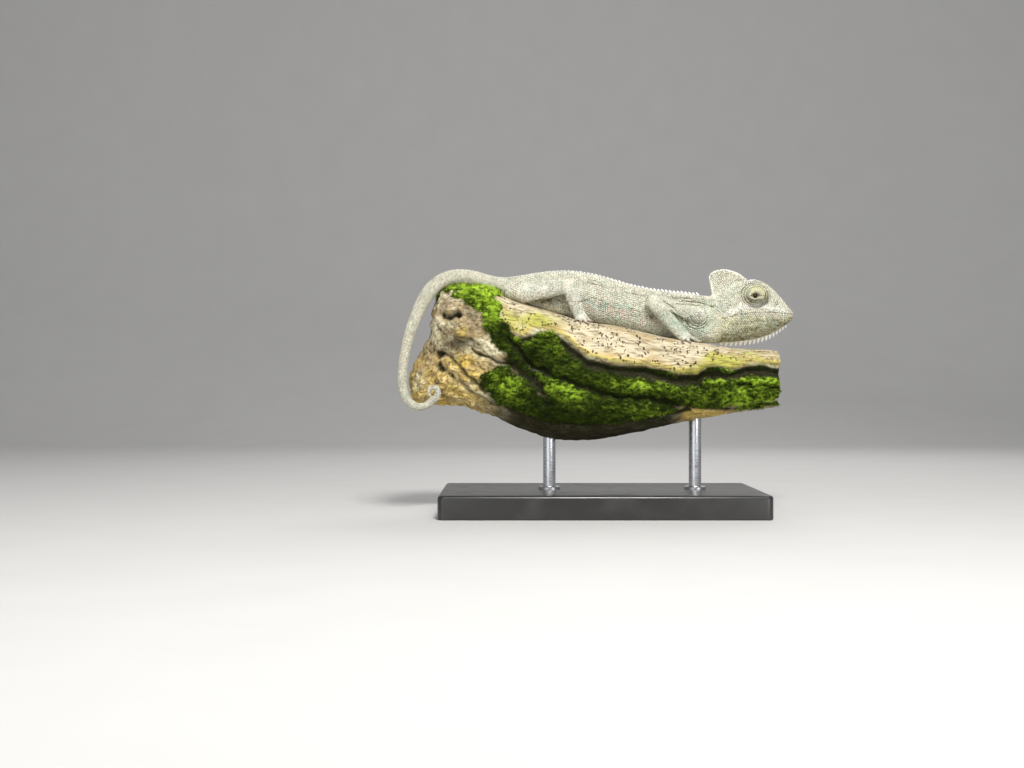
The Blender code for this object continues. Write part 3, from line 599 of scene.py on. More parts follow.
# %% [markdown]
# ## Folds
# Skin folds where a limb pulls it, and the folds follow lines that can be named: the
# mouth, the edge of the skull, the loose skin over the shoulder. Each is a broken line
# seen from the side with a depth and a width. A bell curve of the distance from the line
# presses the skin in, or lifts it where the depth is negative.

# %% Lines in the side view
def path_distance(points, path):
    """Distance in the side view from each point to a smooth line through a few points."""
    path = np.array(path, float)
    if len(path) > 2:
        steps = np.linspace(0, len(path) - 1, 6 * len(path))
        path = through(steps, np.arange(len(path)), path)
    flat = points[:, [0, 2]]
    best = np.full(len(points), 1e9)
    for a, b in zip(path, path[1:]):
        span = b - a
        share = np.clip((flat - a) @ span / (span @ span), 0, 1)
        best = np.minimum(best, np.linalg.norm(flat - a - share[:, None] * span, axis=1))
    return best


def arc(centre, radius, first, last):
    """Five points along part of a circle, with its angles in degrees."""
    turns = np.radians(np.linspace(first, last, 5))
    return [(centre[0] + radius * math.cos(t), centre[1] + radius * math.sin(t)) for t in turns]


# %% Named folds
MOUTH = [(56.6, 91.2), (58.8, 91.5), (61.6, 92.3), (64.2, 93.4), (66.4, 93.1), (70.5, 94.0), (75.2, 93.9),
         (80.0, 94.3), (86.0, 93.9), (91.8, 93.6)]
NAPE_EDGE = [(53.2, 103.0), (53.5, 99.0), (55.0, 95.0), (57.6, 92.4), (60.5, 91.2)]
NECK_FOLD = [(33.6, 101.3), (43.0, 101.2), (53.0, 100.4)]
SHOULDER_KNOB = (45.2, 92.6)
# each fold: line, depth, width, and how far out from the middle plane it starts
FOLDS = [
    (MOUTH, 0.2, 0.36, 0.0),
    ([(57.2, 93.9), (60.2, 93.3)], 0.25, 0.35, 4.0),
    (NAPE_EDGE, -0.35, 0.8, 2.0),
    ([(x - 1.6, z - 0.3) for x, z in NAPE_EDGE], 0.2, 0.8, 2.0),
    (NECK_FOLD, 0.55, 0.36, 3.0),
    ([(x, z - 0.9) for x, z in NECK_FOLD], -0.35, 0.45, 3.0),
    ([(38.0, 99.9), (46.0, 99.2), (53.0, 97.0)], 0.5, 0.36, 4.0),
    ([(35.0, 98.2), (42.0, 97.9), (47.0, 97.3)], 0.4, 0.32, 5.0),
    (arc(SHOULDER_KNOB, 3.7, 180, 375), 0.46, 0.4, 5.0),
    (arc(SHOULDER_KNOB, 4.9, 195, 360), 0.5, 0.4, 5.0),
    (arc(SHOULDER_KNOB, 6.2, 208, 335), 0.42, 0.4, 5.0),
    (arc((66.5, 96.0), 7.6, 115, 200), 0.15, 0.4, 4.0),
    ([(31.5, 94.6), (35.5, 92.2), (40.8, 89.8)], 0.6, 0.5, 4.0),
    ([(28.5, 99.4), (31.5, 97.6), (34.5, 95.2)], 0.4, 0.4, 9.0),
    ([(-6.0, 109.8), (-2.0, 109.0), (0.5, 107.5)], 0.25, 0.3, 4.0),
    ([(-4.0, 107.6), (0.0, 107.0), (3.0, 105.6)], 0.2, 0.3, 4.0),
    ([(11.5, 103.8), (16.0, 103.0), (21.0, 102.0)], 0.32, 0.35, 4.0),
    ([(-6.6, 108.6), (-2.5, 107.4), (0.6, 107.2)], 0.3, 0.35, 4.0),
    ([(-8.0, 99.6), (-4.0, 100.9), (0.5, 99.4)], 0.3, 0.35, 5.0),
    ([(2.0, 98.4), (5.6, 96.6), (9.0, 95.8)], 0.24, 0.35, 5.0),
    ([(13.0, 96.2), (17.0, 94.6), (20.5, 94.2)], 0.26, 0.35, 5.0),
    ([(5.0, 91.6), (7.0, 90.4), (7.4, 88.6)], 0.24, 0.35, 5.0),
    ([(-36.0, 109.0), (-32.0, 109.6), (-28.0, 108.8)], 0.3, 0.4, 2.0),
    ([(-20.0, 99.5), (-12.0, 98.7), (-6.0, 99.5)], 0.25, 0.4, 5.0),
]
# lumps: centre, radii, height
LUMPS = [
    ((*SHOULDER_KNOB, 9.0), 3.3, 1.15),
    ((60.0, 96.5, 7.5), 4.5, 0.3),
    ((83.4, 98.2, 4.5), 0.65, -0.6),
]
print(len(FOLDS), "folds and", len(LUMPS), "lumps")


# %% Relief of the folds
def band(points, path, width):
    """1 on a line seen from the side, fading as a bell."""
    return bell(path_distance(points, path), width)


def blob(points, centre, radii):
    """1 at a centre given as (x, distance from the middle, z), fading as a bell."""
    place = np.stack([points[:, 0], np.abs(points[:, 1]), points[:, 2]], 1)
    return np.exp(-(((place - np.array(centre)) / np.array(radii)) ** 2).sum(1))


def fold_relief(points):
    """How far the skin stands out at each point: folds, lumps, the groove round each
    eye with the brow's arch above it, and loose wrinkles where the legs pull."""
    x, side, z = points[:, 0], np.abs(points[:, 1]), points[:, 2]
    relief = np.zeros(len(points))
    for path, deep, width, inner in FOLDS:
        relief -= deep * band(points, path, width) * ease(side, inner - 0.5, inner + 0.5 + 1e-6)
    for (cx, cz, cy), radius, high in LUMPS:
        relief += high * bell(np.sqrt((x - cx) ** 2 + (z - cz) ** 2 + (side - cy) ** 2), radius)
    round_eye, out = from_eye(points), ease(side, 2.5, 4.0)
    relief -= 0.5 * bell(round_eye - 6.15, 0.36) * out
    relief -= 0.22 * bell(round_eye - 7.1, 0.28) * out * (1 - ease(z, 103.0, 105.5))
    relief += 0.35 * bell(round_eye - 7.4, 0.6) * out * ease(z, 102.0, 106.0)
    loose = spot(x, z, (40, 97), (9, 7)) + spot(x, z, (-24, 102), (12, 7))
    relief -= 0.2 * loose * (1 - np.abs(noise(points * (0.55, 0.5, 1.6), 1.5, 3))) ** 3
    ribs = spot(x, z, (-14, 97), (9, 4)) * ease(side, 4.0, 6.0)
    return relief + 0.08 * ribs * np.cos(TURN * (x + 0.2 * z) / 1.15)


INSIDE_WOOD = 1.02  # wood depth below which flesh is pushed up
COAT, LIFT = 0.2, 0.05


def out_of_wood(points, lift):
    """Points inside the wood come up to just above it, as flesh spreads on a branch."""
    inside = (log_depth(points) < INSIDE_WOOD) & (points[:, 2] > log_measures(points[:, 0])[0])
    level = log_top(points[:, 0], points[:, 1]) + lift
    raised = np.where(inside, np.maximum(points[:, 2], level), points[:, 2])
    return np.column_stack([points[:, :2], raised])


points = points + point_normals(points, triangles) * (fold_relief(points) - COAT)[:, None]
points = out_of_wood(points, LIFT)
print("folded and let in by", COAT, "mm")

# %% [markdown]
# ## Markings
# The skin and every scale must carry one and the same pattern, or gaps between scales
# would show. The pattern is kept in two steps. Five soft masks say where the animal is
# pale, green, rosy, dark or golden, and are worked out from places on the body; the dark
# mask also holds painted shade under the jaw, throat, belly and thigh, between the toes,
# behind the forearm, at the nostril, in the folds and round the eyes, and the pale mask
# holds painted highlight on the thigh and shank and painted light on the lower flank. One
# shader group then turns the masks into colour and adds the fine mottling.

# %% Where each colour lies
MASKS = ("pale", "green", "pink", "dark", "gold")
LEDGE = [(60.0, 94.0), (66.0, 96.6), (74.0, 97.2), (80.0, 96.4), (86.0, 95.2)]
# a line of painted shade along the lower jaw
LOWER_JAW_SHADE = [(57.0, 83.6), (66.0, 85.6), (76.0, 87.6), (86.0, 90.4)]
JAW_LINE = [(62.4, 88.8), (72.6, 90.2), (83.4, 90.8)]
# a line of painted shade under the thigh
THIGH_SHADE_LINE = [(-36, 98.2), (-26, 99.8), (-17, 101.4)]
FLANK_BAND = [(-8.0, 98.6), (2.0, 96.2), (14.0, 92.6), (27.0, 88.4)]
BROW = [(66.8, 108.2), (70.0, 110.2), (75.0, 109.3)]
# stripes: mask, strength, line, width, and how far out from the middle plane it starts
STRIPES = [
    ("pale", 0.9, LEDGE, 1.2, 3), ("pale", 0.8, list(zip(RIM_X, RIM_Z)), 0.8, -1),
    ("pale", 0.6, BROW, 0.9, -1), ("dark", 0.42, JAW_LINE, 0.8, 3), ("dark", 0.95, THIGH_SHADE_LINE, 1.2, 5),
]
# spots: mask, strength, centre, radii
# the pale spots on the thigh and shank are painted highlight; the dark spots behind the forearm, under the
# thigh and at the nostril are painted shade
SPOTS = [
    ("pale", 1.0, (45.4, 10, 94.0), (3.0, 4, 2.2)), ("pale", 0.85, (-30, 9, 105.6), (16, 5, 3.0)),
    ("pale", 0.85, (-13, 11, 100), (5, 4, 6)), ("green", 0.55, (51, 7, 98), (7, 5, 5)),
    ("green", 0.4, (70, 7, 90), (14, 4, 3)), ("green", 0.3, (-30, 6, 108), (9, 6, 3)),
    ("dark", 0.95, (23.4, 10, 92), (2.6, 3, 2.0)), ("dark", 0.3, (-26, 8, 99), (9, 5, 3)),
    ("dark", 0.35, (58, 1, 112.3), (5, 4, 0.8)), ("dark", 0.6, (66.5, 2, 109.5), (4, 3, 0.8)),
    ("dark", 0.8, (83.2, 4.5, 98.2), (0.8, 3, 0.6)), ("dark", 0.4, (86.5, 4, 97.4), (0.6, 3, 0.4)),
]
# folds deeper than this are given painted shade inside
SHADED_FOLD = 0.1  # folds deeper than this are darker inside
print(len(STRIPES), "stripes and", len(SPOTS), "spots of colour")


# %% The turret's pale rim, with painted shade and highlight
def eye_masks(points, on_head):
    """The turret's marks: a pale rim round the opening, its own colour, and painted shade
    below the opening, in front of it, along its seam, in the folds between its rings and
    in the groove round the lids, with painted highlight on the ring crests."""
    x, y, z = points.T
    side, round_eye = np.abs(y), from_eye(points)
    eye = (1 - ease(round_eye, 5.6, 6.6)) * ease(side, 4.5, 6.0)
    ahead, up = x - EYE[0] - LOOK[0], z - EYE[1] - LOOK[1]
    forward = ahead - up
    wave = 0.5 * np.cos(TURN * (round_eye - RING_FROM) / RING_STEP)
    lid_rim = eye * (1 - ease(np.hypot(ahead / 1.34, up / 0.84), 1.95, 2.2))
    # painted shade on the lower half of the turret and on its front below the opening
    lower = eye * ease(-up - 0.12 * ahead, 0.5, 1.9) * (1 - lid_rim) * (1 - ease(round_eye, 4.9, 5.3))
    front = eye * ease(ahead, 1.5, 4.0) * ease(-up + 0.6 * ahead, 1.0, 4.0) * ease(round_eye, 3.2, 4.2)
    # painted shade in the folds between the rings, along the seam and in the groove round the lids
    rings = eye * ease(round_eye, 3.8, 4.2) * (0.5 - wave) * (0.75 + 0.25 * ease(forward, -3.0, 4.0))
    seam = eye * bell(up, SEAM_WIDE) * window(np.abs(ahead), (2.1, 2.6), (3.6, 4.6))
    groove = bell(round_eye - 6.2, 0.45) * on_head * ease(side, 3, 4.5) * ease(forward, 2.5, 6.0)
    # the pale rings are painted highlight on the ring crests, and less gold shows in the painted shade
    return {"pale": 0.5 * eye * ease(round_eye, 4.3, 4.7) * (0.5 + wave) + 0.55 * lid_rim,
            "dark": lower + 0.95 * front + rings + 0.8 * seam + 0.8 * groove,
            "gold": 0.8 * eye * (1 - 0.6 * lower)}


# %% All five masks
def masks(points):
    """Soft shares of each colour at each point."""
    x, y, z = points.T
    side = np.abs(y)
    back, belly = through(x, TRUNK_X, BACK_Z), through(x, TRUNK_X, BELLY_Z)
    high = (z - belly) / (back - belly)
    on_trunk = window(x, (-40, -30), (50, 56))
    on_head = ease(x, 53, 57)
    keel = through(np.clip(x, HEAD_X[0], HEAD_X[-1]), HEAD_X, HEAD_LINES[-1][0])
    low_leg = ease(side, 9.5, 11) * (1 - ease(z - log_top(x, y), 2.0, 6.0))
    total = {name: np.zeros(len(points)) for name in MASKS}
    for name, values in eye_masks(points, on_head).items():
        total[name] += values
    for name, strength, path, width, inner in STRIPES:
        total[name] += strength * band(points, path, width) * ease(side, inner - 1, inner + 1)
    for name, strength, centre, radii in SPOTS:
        total[name] += strength * blob(points, centre, radii)
    # painted shade inside the deeper folds
    for path, deep, width, inner in FOLDS:
        if deep > SHADED_FOLD:
            outside = ease(side, inner - 0.5, inner + 0.5)
            total["dark"] += 1.1 * deep * band(points, path, 1.15 * width) * outside
    total["pale"] += 0.3 * ease(high, 0.85, 1.0) * on_trunk + 0.35 * band(points, NAPE_EDGE, 0.8) * on_head
    # painted light on the lower flank, where the lamps leave it in shade
    total["pale"] += 0.4 * on_trunk * (1 - low_leg) * (1 - ease(high, 0.15, 0.45)) * ease(x, -14, 2)
    total["pale"] += 0.45 * low_leg
    total["green"] += on_trunk * bell(high - 0.22, 0.28) * ease(x, -8, 6)
    total["green"] += 0.35 * on_head * blob(points, (62, 5, 104), (7, 6, 6))
    total["pink"] += on_trunk * band(points, FLANK_BAND, 3.4)
    # painted shade along the lower jaw and under the throat
    total["dark"] += on_head * (0.5 * band(points, LOWER_JAW_SHADE, 1.5) + 0.62 * (1 - ease(z - keel, 0.5, 4.5)))
    total["dark"] += 0.17 * on_head * ease(x, 58, 68) * (1 - ease(z, 92.6, 94.6)) * ease(side, 2, 4)
    # painted shade along the belly
    total["dark"] += 0.2 * on_trunk * (1 - ease(high, 0.02, 0.3)) * ease(x, -12, 5)
    # painted shade in stripes between the toes
    total["dark"] += 0.6 * low_leg * ease(np.sin(TURN * (y + 0.35 * x) / 2.1), 0.45, 0.9)
    total["gold"] += 0.45 * on_head * (1 - ease(z, 91.0, 94.0))
    return {name: np.clip(values, 0, 1) for name, values in total.items()}


# %% Nodes whose outputs add and multiply
class Output:
    """One output of a node. Sums, differences and products of outputs are Math nodes,
    and an output's square brackets reach the other outputs of its node."""

    def __init__(self, tree, socket):
        self.tree, self.socket = tree, socket

    def __getitem__(self, key):
        return Output(self.tree, self.socket.node.outputs[key])

    def __add__(self, other):
        return maths("ADD", self, other)

    def __sub__(self, other):
        return maths("SUBTRACT", self, other)

    def __rsub__(self, other):
        return maths("SUBTRACT", other, self)

    def __mul__(self, other):
        return maths("MULTIPLY", self, other)


def wire(node, inputs):
    """Each named or numbered input gets a value, or a link where that is an output."""
    for key, value in inputs.items():
        if isinstance(value, Output):
            value.tree.links.new(value.socket, node.inputs[key])
        else:
            node.inputs[key].default_value = value


def add(tree, kind, inputs=None, **settings):
    """One node of the tree's own type, set up and wired, as its first output."""
    node = tree.nodes.new(tree.bl_idname.replace("Tree", "") + kind)
    for key, value in settings.items():
        setattr(node, key, value)
    wire(node, inputs or {})
    return Output(tree, node.outputs[0])


def tree_of(*values):
    """The tree of the first output among some values."""
    return next(value.tree for value in values if isinstance(value, Output))


def maths(operation, first, second=0.0):
    """A Math node on two numbers, at least one of them an output."""
    return add(tree_of(first, second), "Math", {0: first, 1: second}, operation=operation)


# %% Shorthand for colours, ramps and noise
def blend(share, first, second, mode="MIX"):
    """One colour into another."""
    inputs = {0: share, 6: first, 7: second}
    inputs = {k: (*v, 1.0) if isinstance(v, tuple) else v for k, v in inputs.items()}
    return add(tree_of(share, first, second), "Mix", inputs, data_type="RGBA", blend_type=mode)[2]


def coats(colour, *layers):
    """A colour under several others, laid on in turn: each is a share and a colour."""
    for share, layer in layers:
        colour = blend(share, colour, layer)
    return colour


def ramp(value, low, high, start=0.0, end=1.0):
    """A value's place between low and high, as a smooth share from start to end."""
    return add(value.tree, "MapRange", {0: value, 1: low, 2: high, 3: start, 4: end},
               interpolation_type="SMOOTHSTEP")


def number_of(tree, name):
    """A number that the mesh carries on its points."""
    return add(tree, "Attribute", attribute_name=name)["Fac"]


def in_millimetres(tree, stretch=(1, 1, 1)):
    """Object coordinates in millimetres, each divided by its stretch."""
    place = add(tree, "TexCoord")["Object"]
    return add(tree, "Mapping", {"Vector": place, "Scale": [1 / (MM * k) for k in stretch]})


def grain(place, size, detail=2.0, distort=0.0):
    """Noise whose lumps are about as wide as size."""
    return add(place.tree, "TexNoise", {"Vector": place, "Scale": 1 / size, "Detail": detail,
                                        "Distortion": distort})["Fac"]


# %% Node groups and materials
def new_group(name, inputs, outputs):
    """An empty node group: its tree, what it is given, and the node that it fills."""
    tree = bpy.data.node_groups.new(name, "ShaderNodeTree")
    for title, value in inputs.items():
        made = tree.interface.new_socket(title, in_out="INPUT", socket_type="NodeSocketFloat")
        made.default_value = value
    for title, kind in outputs.items():
        tree.interface.new_socket(title, in_out="OUTPUT", socket_type="NodeSocket" + kind)
    given = Output(tree, tree.nodes.new("NodeGroupInput").outputs[0])
    return tree, given, tree.nodes.new("NodeGroupOutput")


def new_material(name, **constants):
    """A material with its Principled shader's fixed values set on the sockets."""
    made = bpy.data.materials.new(name)
    made.use_nodes = True
    shader = made.node_tree.nodes["Principled BSDF"]
    wire(shader, {key.replace("_", " "): value for key, value in constants.items()})
    return made, made.node_tree, shader


def bump(height, distance, strength=1.0):
    """A normal bent by a height, with the relief's depth in millimetres."""
    return add(height.tree, "Bump", {"Height": height, "Distance": distance * MM, "Strength": strength})


# %% The markings as one shader group
CREAM, GREEN, ROSE = (0.69, 0.66, 0.52), (0.44, 0.55, 0.41), (0.68, 0.55, 0.42)
DARK, PALE, GOLD = (0.11, 0.095, 0.022), (0.88, 0.86, 0.76), (0.74, 0.72, 0.40)
MINT, CREASED, SPOT = (0.37, 0.52, 0.42), (0.20, 0.20, 0.13), (0.22, 0.21, 0.12)
SAGE, TAN = (0.52, 0.58, 0.46), (0.66, 0.54, 0.43)
markings, given, gives = new_group(
    "chameleon_markings", {"Tone": 0.5, "Crown": 1.0}, {"Color": "Color", "Fleck": "Float"})
pale, green, pink, dark, gold = (number_of(markings, name) for name in MASKS)
place = in_millimetres(markings)
edge = add(markings, "TexVoronoi", {"Vector": in_millimetres(markings, (0.6, 1.0, 1.5)), "Scale": 0.3},
           feature="DISTANCE_TO_EDGE")["Distance"]
net = ramp(edge, 0.02, 0.11, 1.0, 0.0)
patch = ramp(grain(place, 6.0, 3.0), 0.35, 0.62)
rosy = ramp(grain(in_millimetres(markings, (0.6, 1, 1)), 3.6), 0.44, 0.56)
crease = net * ramp(grain(place, 5.0, 1.0), 0.46, 0.58) * (pink * 0.4 + 0.2)
# the dark mask counts a little more at a dome's base, as painted shade
crown = ramp(given["Crown"], 0.0, 1.0, 1.1, 0.95)
shade = dark * crown * ramp(given["Tone"], 0.3, 0.75, 1.15, 0.62)
sage = ramp(grain(place, 4.2), 0.46, 0.62)
tan = ramp(grain(in_millimetres(markings, (1.1, 1, 0.9)), 3.4), 0.55, 0.68)
fleck = ramp(grain(place, 1.2, 1.0), 0.6, 0.72)
colour = coats(
    CREAM, (green * (patch * 0.7 + 0.3), GREEN), (pink * rosy, ROSE), (pink * (1.0 - rosy) * 0.75, MINT),
    (crease, CREASED), (gold, GOLD), (shade, DARK), (pale, PALE), (sage * 0.4, SAGE), (tan * 0.35, TAN),
    (fleck * (dark * 0.5 + 0.34), SPOT))
veil = ramp(grain(place, 2.6), 0.3, 0.7, 0.85, 1.06)
# darker skin between the scales, and painted shade towards each dome's base
depth = ramp(given["Crown"], 0.0, 0.9, 0.3, 1.04)
grey = veil * (given["Tone"] * 0.26 + 0.87) * depth
grey = add(markings, "CombineColor", {0: grey, 1: grey, 2: grey})
wire(gives, {"Color": blend(1.0, colour, grey, "MULTIPLY"), "Fleck": fleck})
print("markings:", len(markings.nodes), "nodes")

# %% Skin and scale materials
skin_material, tree, shader = new_material(
    "chameleon_skin", Roughness=0.62, Specular_IOR_Level=0.35)
# the skin between the scales takes a dome's base colour, with its painted shade
out = add(tree, "Group", {"Tone": 0.4, "Crown": 0.3}, node_tree=markings)
wire(shader, {"Base Color": out["Color"], "Normal": bump(grain(in_millimetres(tree), 0.25), 0.05, 0.6)})

scale_material, tree, shader = new_material(
    "chameleon_scales", Roughness=0.55, Specular_IOR_Level=0.4)
out = add(tree, "Group", {"Tone": number_of(tree, "tone"), "Crown": number_of(tree, "crown")},
          node_tree=markings)
wire(shader, {"Base Color": out["Color"], "Roughness": ramp(out["Fleck"], 0.0, 1.0, 0.52, 0.66)})
print("materials:", skin_material.name, "and", scale_material.name)

# %% The finished skin
SKIN_TRIANGLES = 176000
points, triangles = through_modifiers(
    points, [triangles], ("DECIMATE", {"ratio": SKIN_TRIANGLES / len(triangles)}))
lids = [sampled(turret(mirror), 60, 72) for mirror in (-1, 1)]
points, faces = joined([(points, [triangles])] + lids)
FLESH = [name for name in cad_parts
         if not name.startswith(("perch", "stand", "eyeball"))]
skin_mesh = mesh_of("skin", points, faces)
add_values(skin_mesh, masks(points))
skin = piece("skin", skin_mesh, skin_material, FLESH)
print("skin:", triangle_count(faces), "triangles for", len(FLESH), "nodes")

# %% [markdown]
# ## Scales
# A veiled chameleon's scales are small round granules that touch but don't overlap. They
# could be a bump in the material, but then the outline stays bare, so each is a low dome
# of its own. Their roots are laid in staggered rows on the same surface functions, then
# brought to the nearest place on the finished skin, so that they follow every fold.

# %% Even steps along a ring
def by_length(rings, marks):
    """For rings of points, each ring's length, and a function that gives the mark at a
    share of a ring's length. The rings' runs are laid end to end, so that one call of
    interp answers for all of them."""
    steps = np.linalg.norm(np.diff(rings, axis=1), axis=2)
    run = np.concatenate([np.zeros((len(rings), 1)), np.cumsum(steps, axis=1)], axis=1)
    total = np.maximum(run[:, -1], 1e-9)
    key = (run / total[:, None] + np.arange(len(rings))[:, None]).ravel()
    return total, lambda row, share: np.interp(share + row, key, np.tile(marks, len(rings)))


# %% Staggered rows of roots
HEX = 0.87  # distance between rows for each pitch along a row
WANDER = 0.3  # the range in which a root strays round its even place, in steps


def root_rows(surface, u_span, v_span, pitch, seed, rings=True):
    """Rows lie at even steps of u, and the roots in each at even steps along it, by arc
    length. Rings close on themselves, other rows run along the part from end to end.
    Where rows crowd, every second row is left out, then every fourth."""
    fine_u, fine_v = np.linspace(*u_span, 240), np.linspace(*v_span, 361)
    fine = surface(fine_u[:, None], fine_v[None, :])
    run = np.concatenate([[0], np.cumsum(np.linalg.norm(np.diff(fine, axis=0), axis=2).max(axis=1))])
    rows = max(3, int(run[-1] / (HEX * pitch)))
    row_u = np.interp((np.arange(rows) + 0.5) / rows * run[-1], run, fine_u)
    total, mark_at = by_length(surface(row_u[:, None], fine_v[None, :]), fine_v)
    number = np.maximum(1, np.round(total / pitch)).astype(int)
    row = np.repeat(np.arange(rows), number)
    j = np.arange(len(row)) - np.repeat(np.cumsum(number) - number, number)
    wander = (chance((2, len(row)), seed) - 0.5) * WANDER
    share = (j + 0.5 * (row % 2) + (0.0 if rings else 0.25) + wander[0]) / number[row]
    share = share % 1 if rings else np.clip(share, 0, 1)
    v = mark_at(row, share)
    step = np.gradient(row_u)[row]
    u = row_u[row] + wander[1] * step
    place = surface(u, v)
    beside = surface(u + 0.25 * step, v) - surface(u - 0.25 * step, v)
    spacing = 2 * np.linalg.norm(beside, axis=1)
    thin = np.clip(np.floor(np.log2(1.3 * HEX * pitch / np.maximum(spacing, 1e-6))), 0, 5).astype(int)
    keep = row % 2**thin == 0
    breadth = np.minimum(spacing * 2.0**thin / HEX, 1.35 * pitch)
    after = surface(u, v + 0.002 * (v_span[1] - v_span[0])) - place
    even = np.full(len(u), pitch)
    length, width = (breadth, even) if rings else (even, breadth)
    flat = np.stack([(mark - span[0]) / (span[1] - span[0]) for mark, span in ((u, u_span), (v, v_span))], 1)
    rows = {"place": place, "lie": unit(beside if rings else after), "long": length, "wide": width,
            "flat": flat}
    return {key: value[keep] for key, value in rows.items()}


# %% Nearest place on the skin
def on_skin(places):
    """The skin's nearest place to each point and its normal there, by Geometry Nodes."""
    tree = bpy.data.node_groups.new("nearest_on_skin", "GeometryNodeTree")
    for way in ("INPUT", "OUTPUT"):
        tree.interface.new_socket("Geometry", in_out=way, socket_type="NodeSocketGeometry")
    flow = Output(tree, tree.nodes.new("NodeGroupInput").outputs[0])
    end = tree.nodes.new("NodeGroupOutput")
    body = add(tree, "ObjectInfo", {"Object": skin})["Geometry"]
    closest = add(tree, "Proximity", {0: body})["Position"]
    facing = add(tree, "SampleNearestSurface", {"Mesh": body, "Value": add(tree, "InputNormal")},
                 data_type="FLOAT_VECTOR")["Value"]
    for name, value in (("near", closest), ("normal", facing)):
        flow = add(tree, "StoreNamedAttribute", {"Name": name, "Value": value, "Geometry": flow},
                   data_type="FLOAT_VECTOR")
    wire(end, {0: flow})
    dots = bpy.data.meshes.new("roots")
    dots.vertices.add(len(places))
    dots.vertices.foreach_set("co", (places * MM).astype(np.float32).ravel())
    holder = new_object("roots", dots)
    holder.modifiers.new("near", "NODES").node_group = tree
    found = holder.evaluated_get(bpy.context.evaluated_depsgraph_get()).data.attributes
    near, normal = (read(found[name].data, "vector", 3).astype(float) for name in ("near", "normal"))
    bpy.data.meshes.remove(dots)
    bpy.data.node_groups.remove(tree)
    return near / MM, unit(normal)


# %% Lay out the rows, part by part
def swapped(surface):
    """The same surface with its two numbers changed round."""
    return lambda u, v: surface(v, u)


def snout(t, turn):
    """The rounded tip of the snout: ovals round a pole that faces forward."""
    t, turn = np.broadcast_arrays(t, turn)
    return np.stack([91.6 - 0.7 * t**2, 1.4 * t * np.cos(turn), 92.9 + 2.2 * t * np.sin(turn)], -1)


ROUND, WHOLE = (0.0, TURN), (0.0, 1.0)
# label of a limb's scales and the pitch of their roots, by a word in the surface's name
PITCHES = {"toe": ("feet", 0.46), "palm": ("feet", 0.52), "leg": ("legs", 0.84)}
fields = [
    ("trunk", root_rows(trunk, (-45.0, 56.5), ROUND, 0.98, 1)),
    ("tail", root_rows(tail, (0.3, TAIL_LENGTH), ROUND, 0.8, 2)),
    ("head", root_rows(swapped(head), WHOLE, (49.5, 91.3), 0.95, 3, rings=False)),
    ("head", root_rows(swapped(casque), WHOLE, WHOLE, 1.0, 4, rings=False)),
    ("head", root_rows(snout, (0.05, 1.0), ROUND, 0.62, 5)),
]
for k, (name, surface) in enumerate(legs.items()):
    label, pitch = next(PITCHES[word] for word in PITCHES if word in name)
    label += "_right" if "right" in name else "_left"
    fields.append((label, root_rows(surface, (0.02, 0.98), ROUND, pitch, 10 + k)))
for mirror in (-1, 1):
    fields.append(("lids", root_rows(turret(mirror), (0.29, 0.93), ROUND, 0.5, 60 + mirror)))
labels = [label for label, _ in fields]
island = [labels[:k].count(label) for k, label in enumerate(labels)]
counts = [len(rows["place"]) for _, rows in fields]
roots = {key: np.concatenate([rows[key] for _, rows in fields]) for key in fields[0][1]}
root_label = np.repeat(labels, counts)
root_island = np.repeat(island, counts)
near, normal = on_skin(roots["place"])
print("roots laid out:", len(near))

# %% Drop the roots that lie inside another part or against the wood
gap = roots["place"] - near
off = np.linalg.norm(gap, axis=1)
inward = np.einsum("ij,ij->i", gap, normal)
REACH, COVERED = 0.95, 0.8  # how far off the skin a root may be, and how far under it
SOCKET, SOCKET_OUT = 5.75, 3.0  # the lids' base: its radius, and where it starts
FACE_X, LIPS = 60.0, 0.26  # the face's back end, and half the gap between the lips
TOUCHING = 1.004  # wood depth below which a root lies against the wood
keep = (off < REACH) & (inward > -COVERED) & (log_depth(near) > TOUCHING)
in_socket = (from_eye(near) < SOCKET) & (np.abs(near[:, 1]) > SOCKET_OUT)
keep &= (root_label == "lids") | ~in_socket
on_face = (near[:, 0] > FACE_X) & (root_label == "head")
keep &= ~(on_face & (path_distance(near, MOUTH) < LIPS))
print("roots kept:", int(keep.sum()))

# %% A dome as the template of a scale
DOME = 6
corner_turn = (np.arange(DOME) + 0.5) / DOME * TURN
dome_points = np.concatenate([
    np.stack([np.cos(corner_turn), np.sin(corner_turn), np.full(DOME, -0.45)], 1),
    np.stack([0.76 * np.cos(corner_turn), 0.76 * np.sin(corner_turn), np.full(DOME, 0.62)], 1),
    [[0.0, 0.0, 1.0]],
])
ring = np.arange(DOME)
after = (ring + 1) % DOME
dome_faces = [np.stack([ring, after, after + DOME, ring + DOME], 1),
              np.stack([ring + DOME, after + DOME, np.full(DOME, 2 * DOME)], 1),
              ring[None, ::-1]]
dome_crown = np.repeat([0.0, 0.7, 1.0], [DOME, DOME, 1])
PATCH = 0.0015  # half the width of a scale's own patch on the unwrap
FILL = 0.56  # a dome's radius for each pitch of its root
PLAIN_SHARE, TUBERCLE = 0.9, 1.18  # share of plain scales, and how much larger the others are
print("a scale:", len(dome_points), "points")


# %% Many copies of a template as one mesh
def spread(template, count, size):
    """A template's faces repeated for many copies of it."""
    return [(face[None] + np.arange(count)[:, None, None] * size).reshape(-1, face.shape[1])
            for face in template]


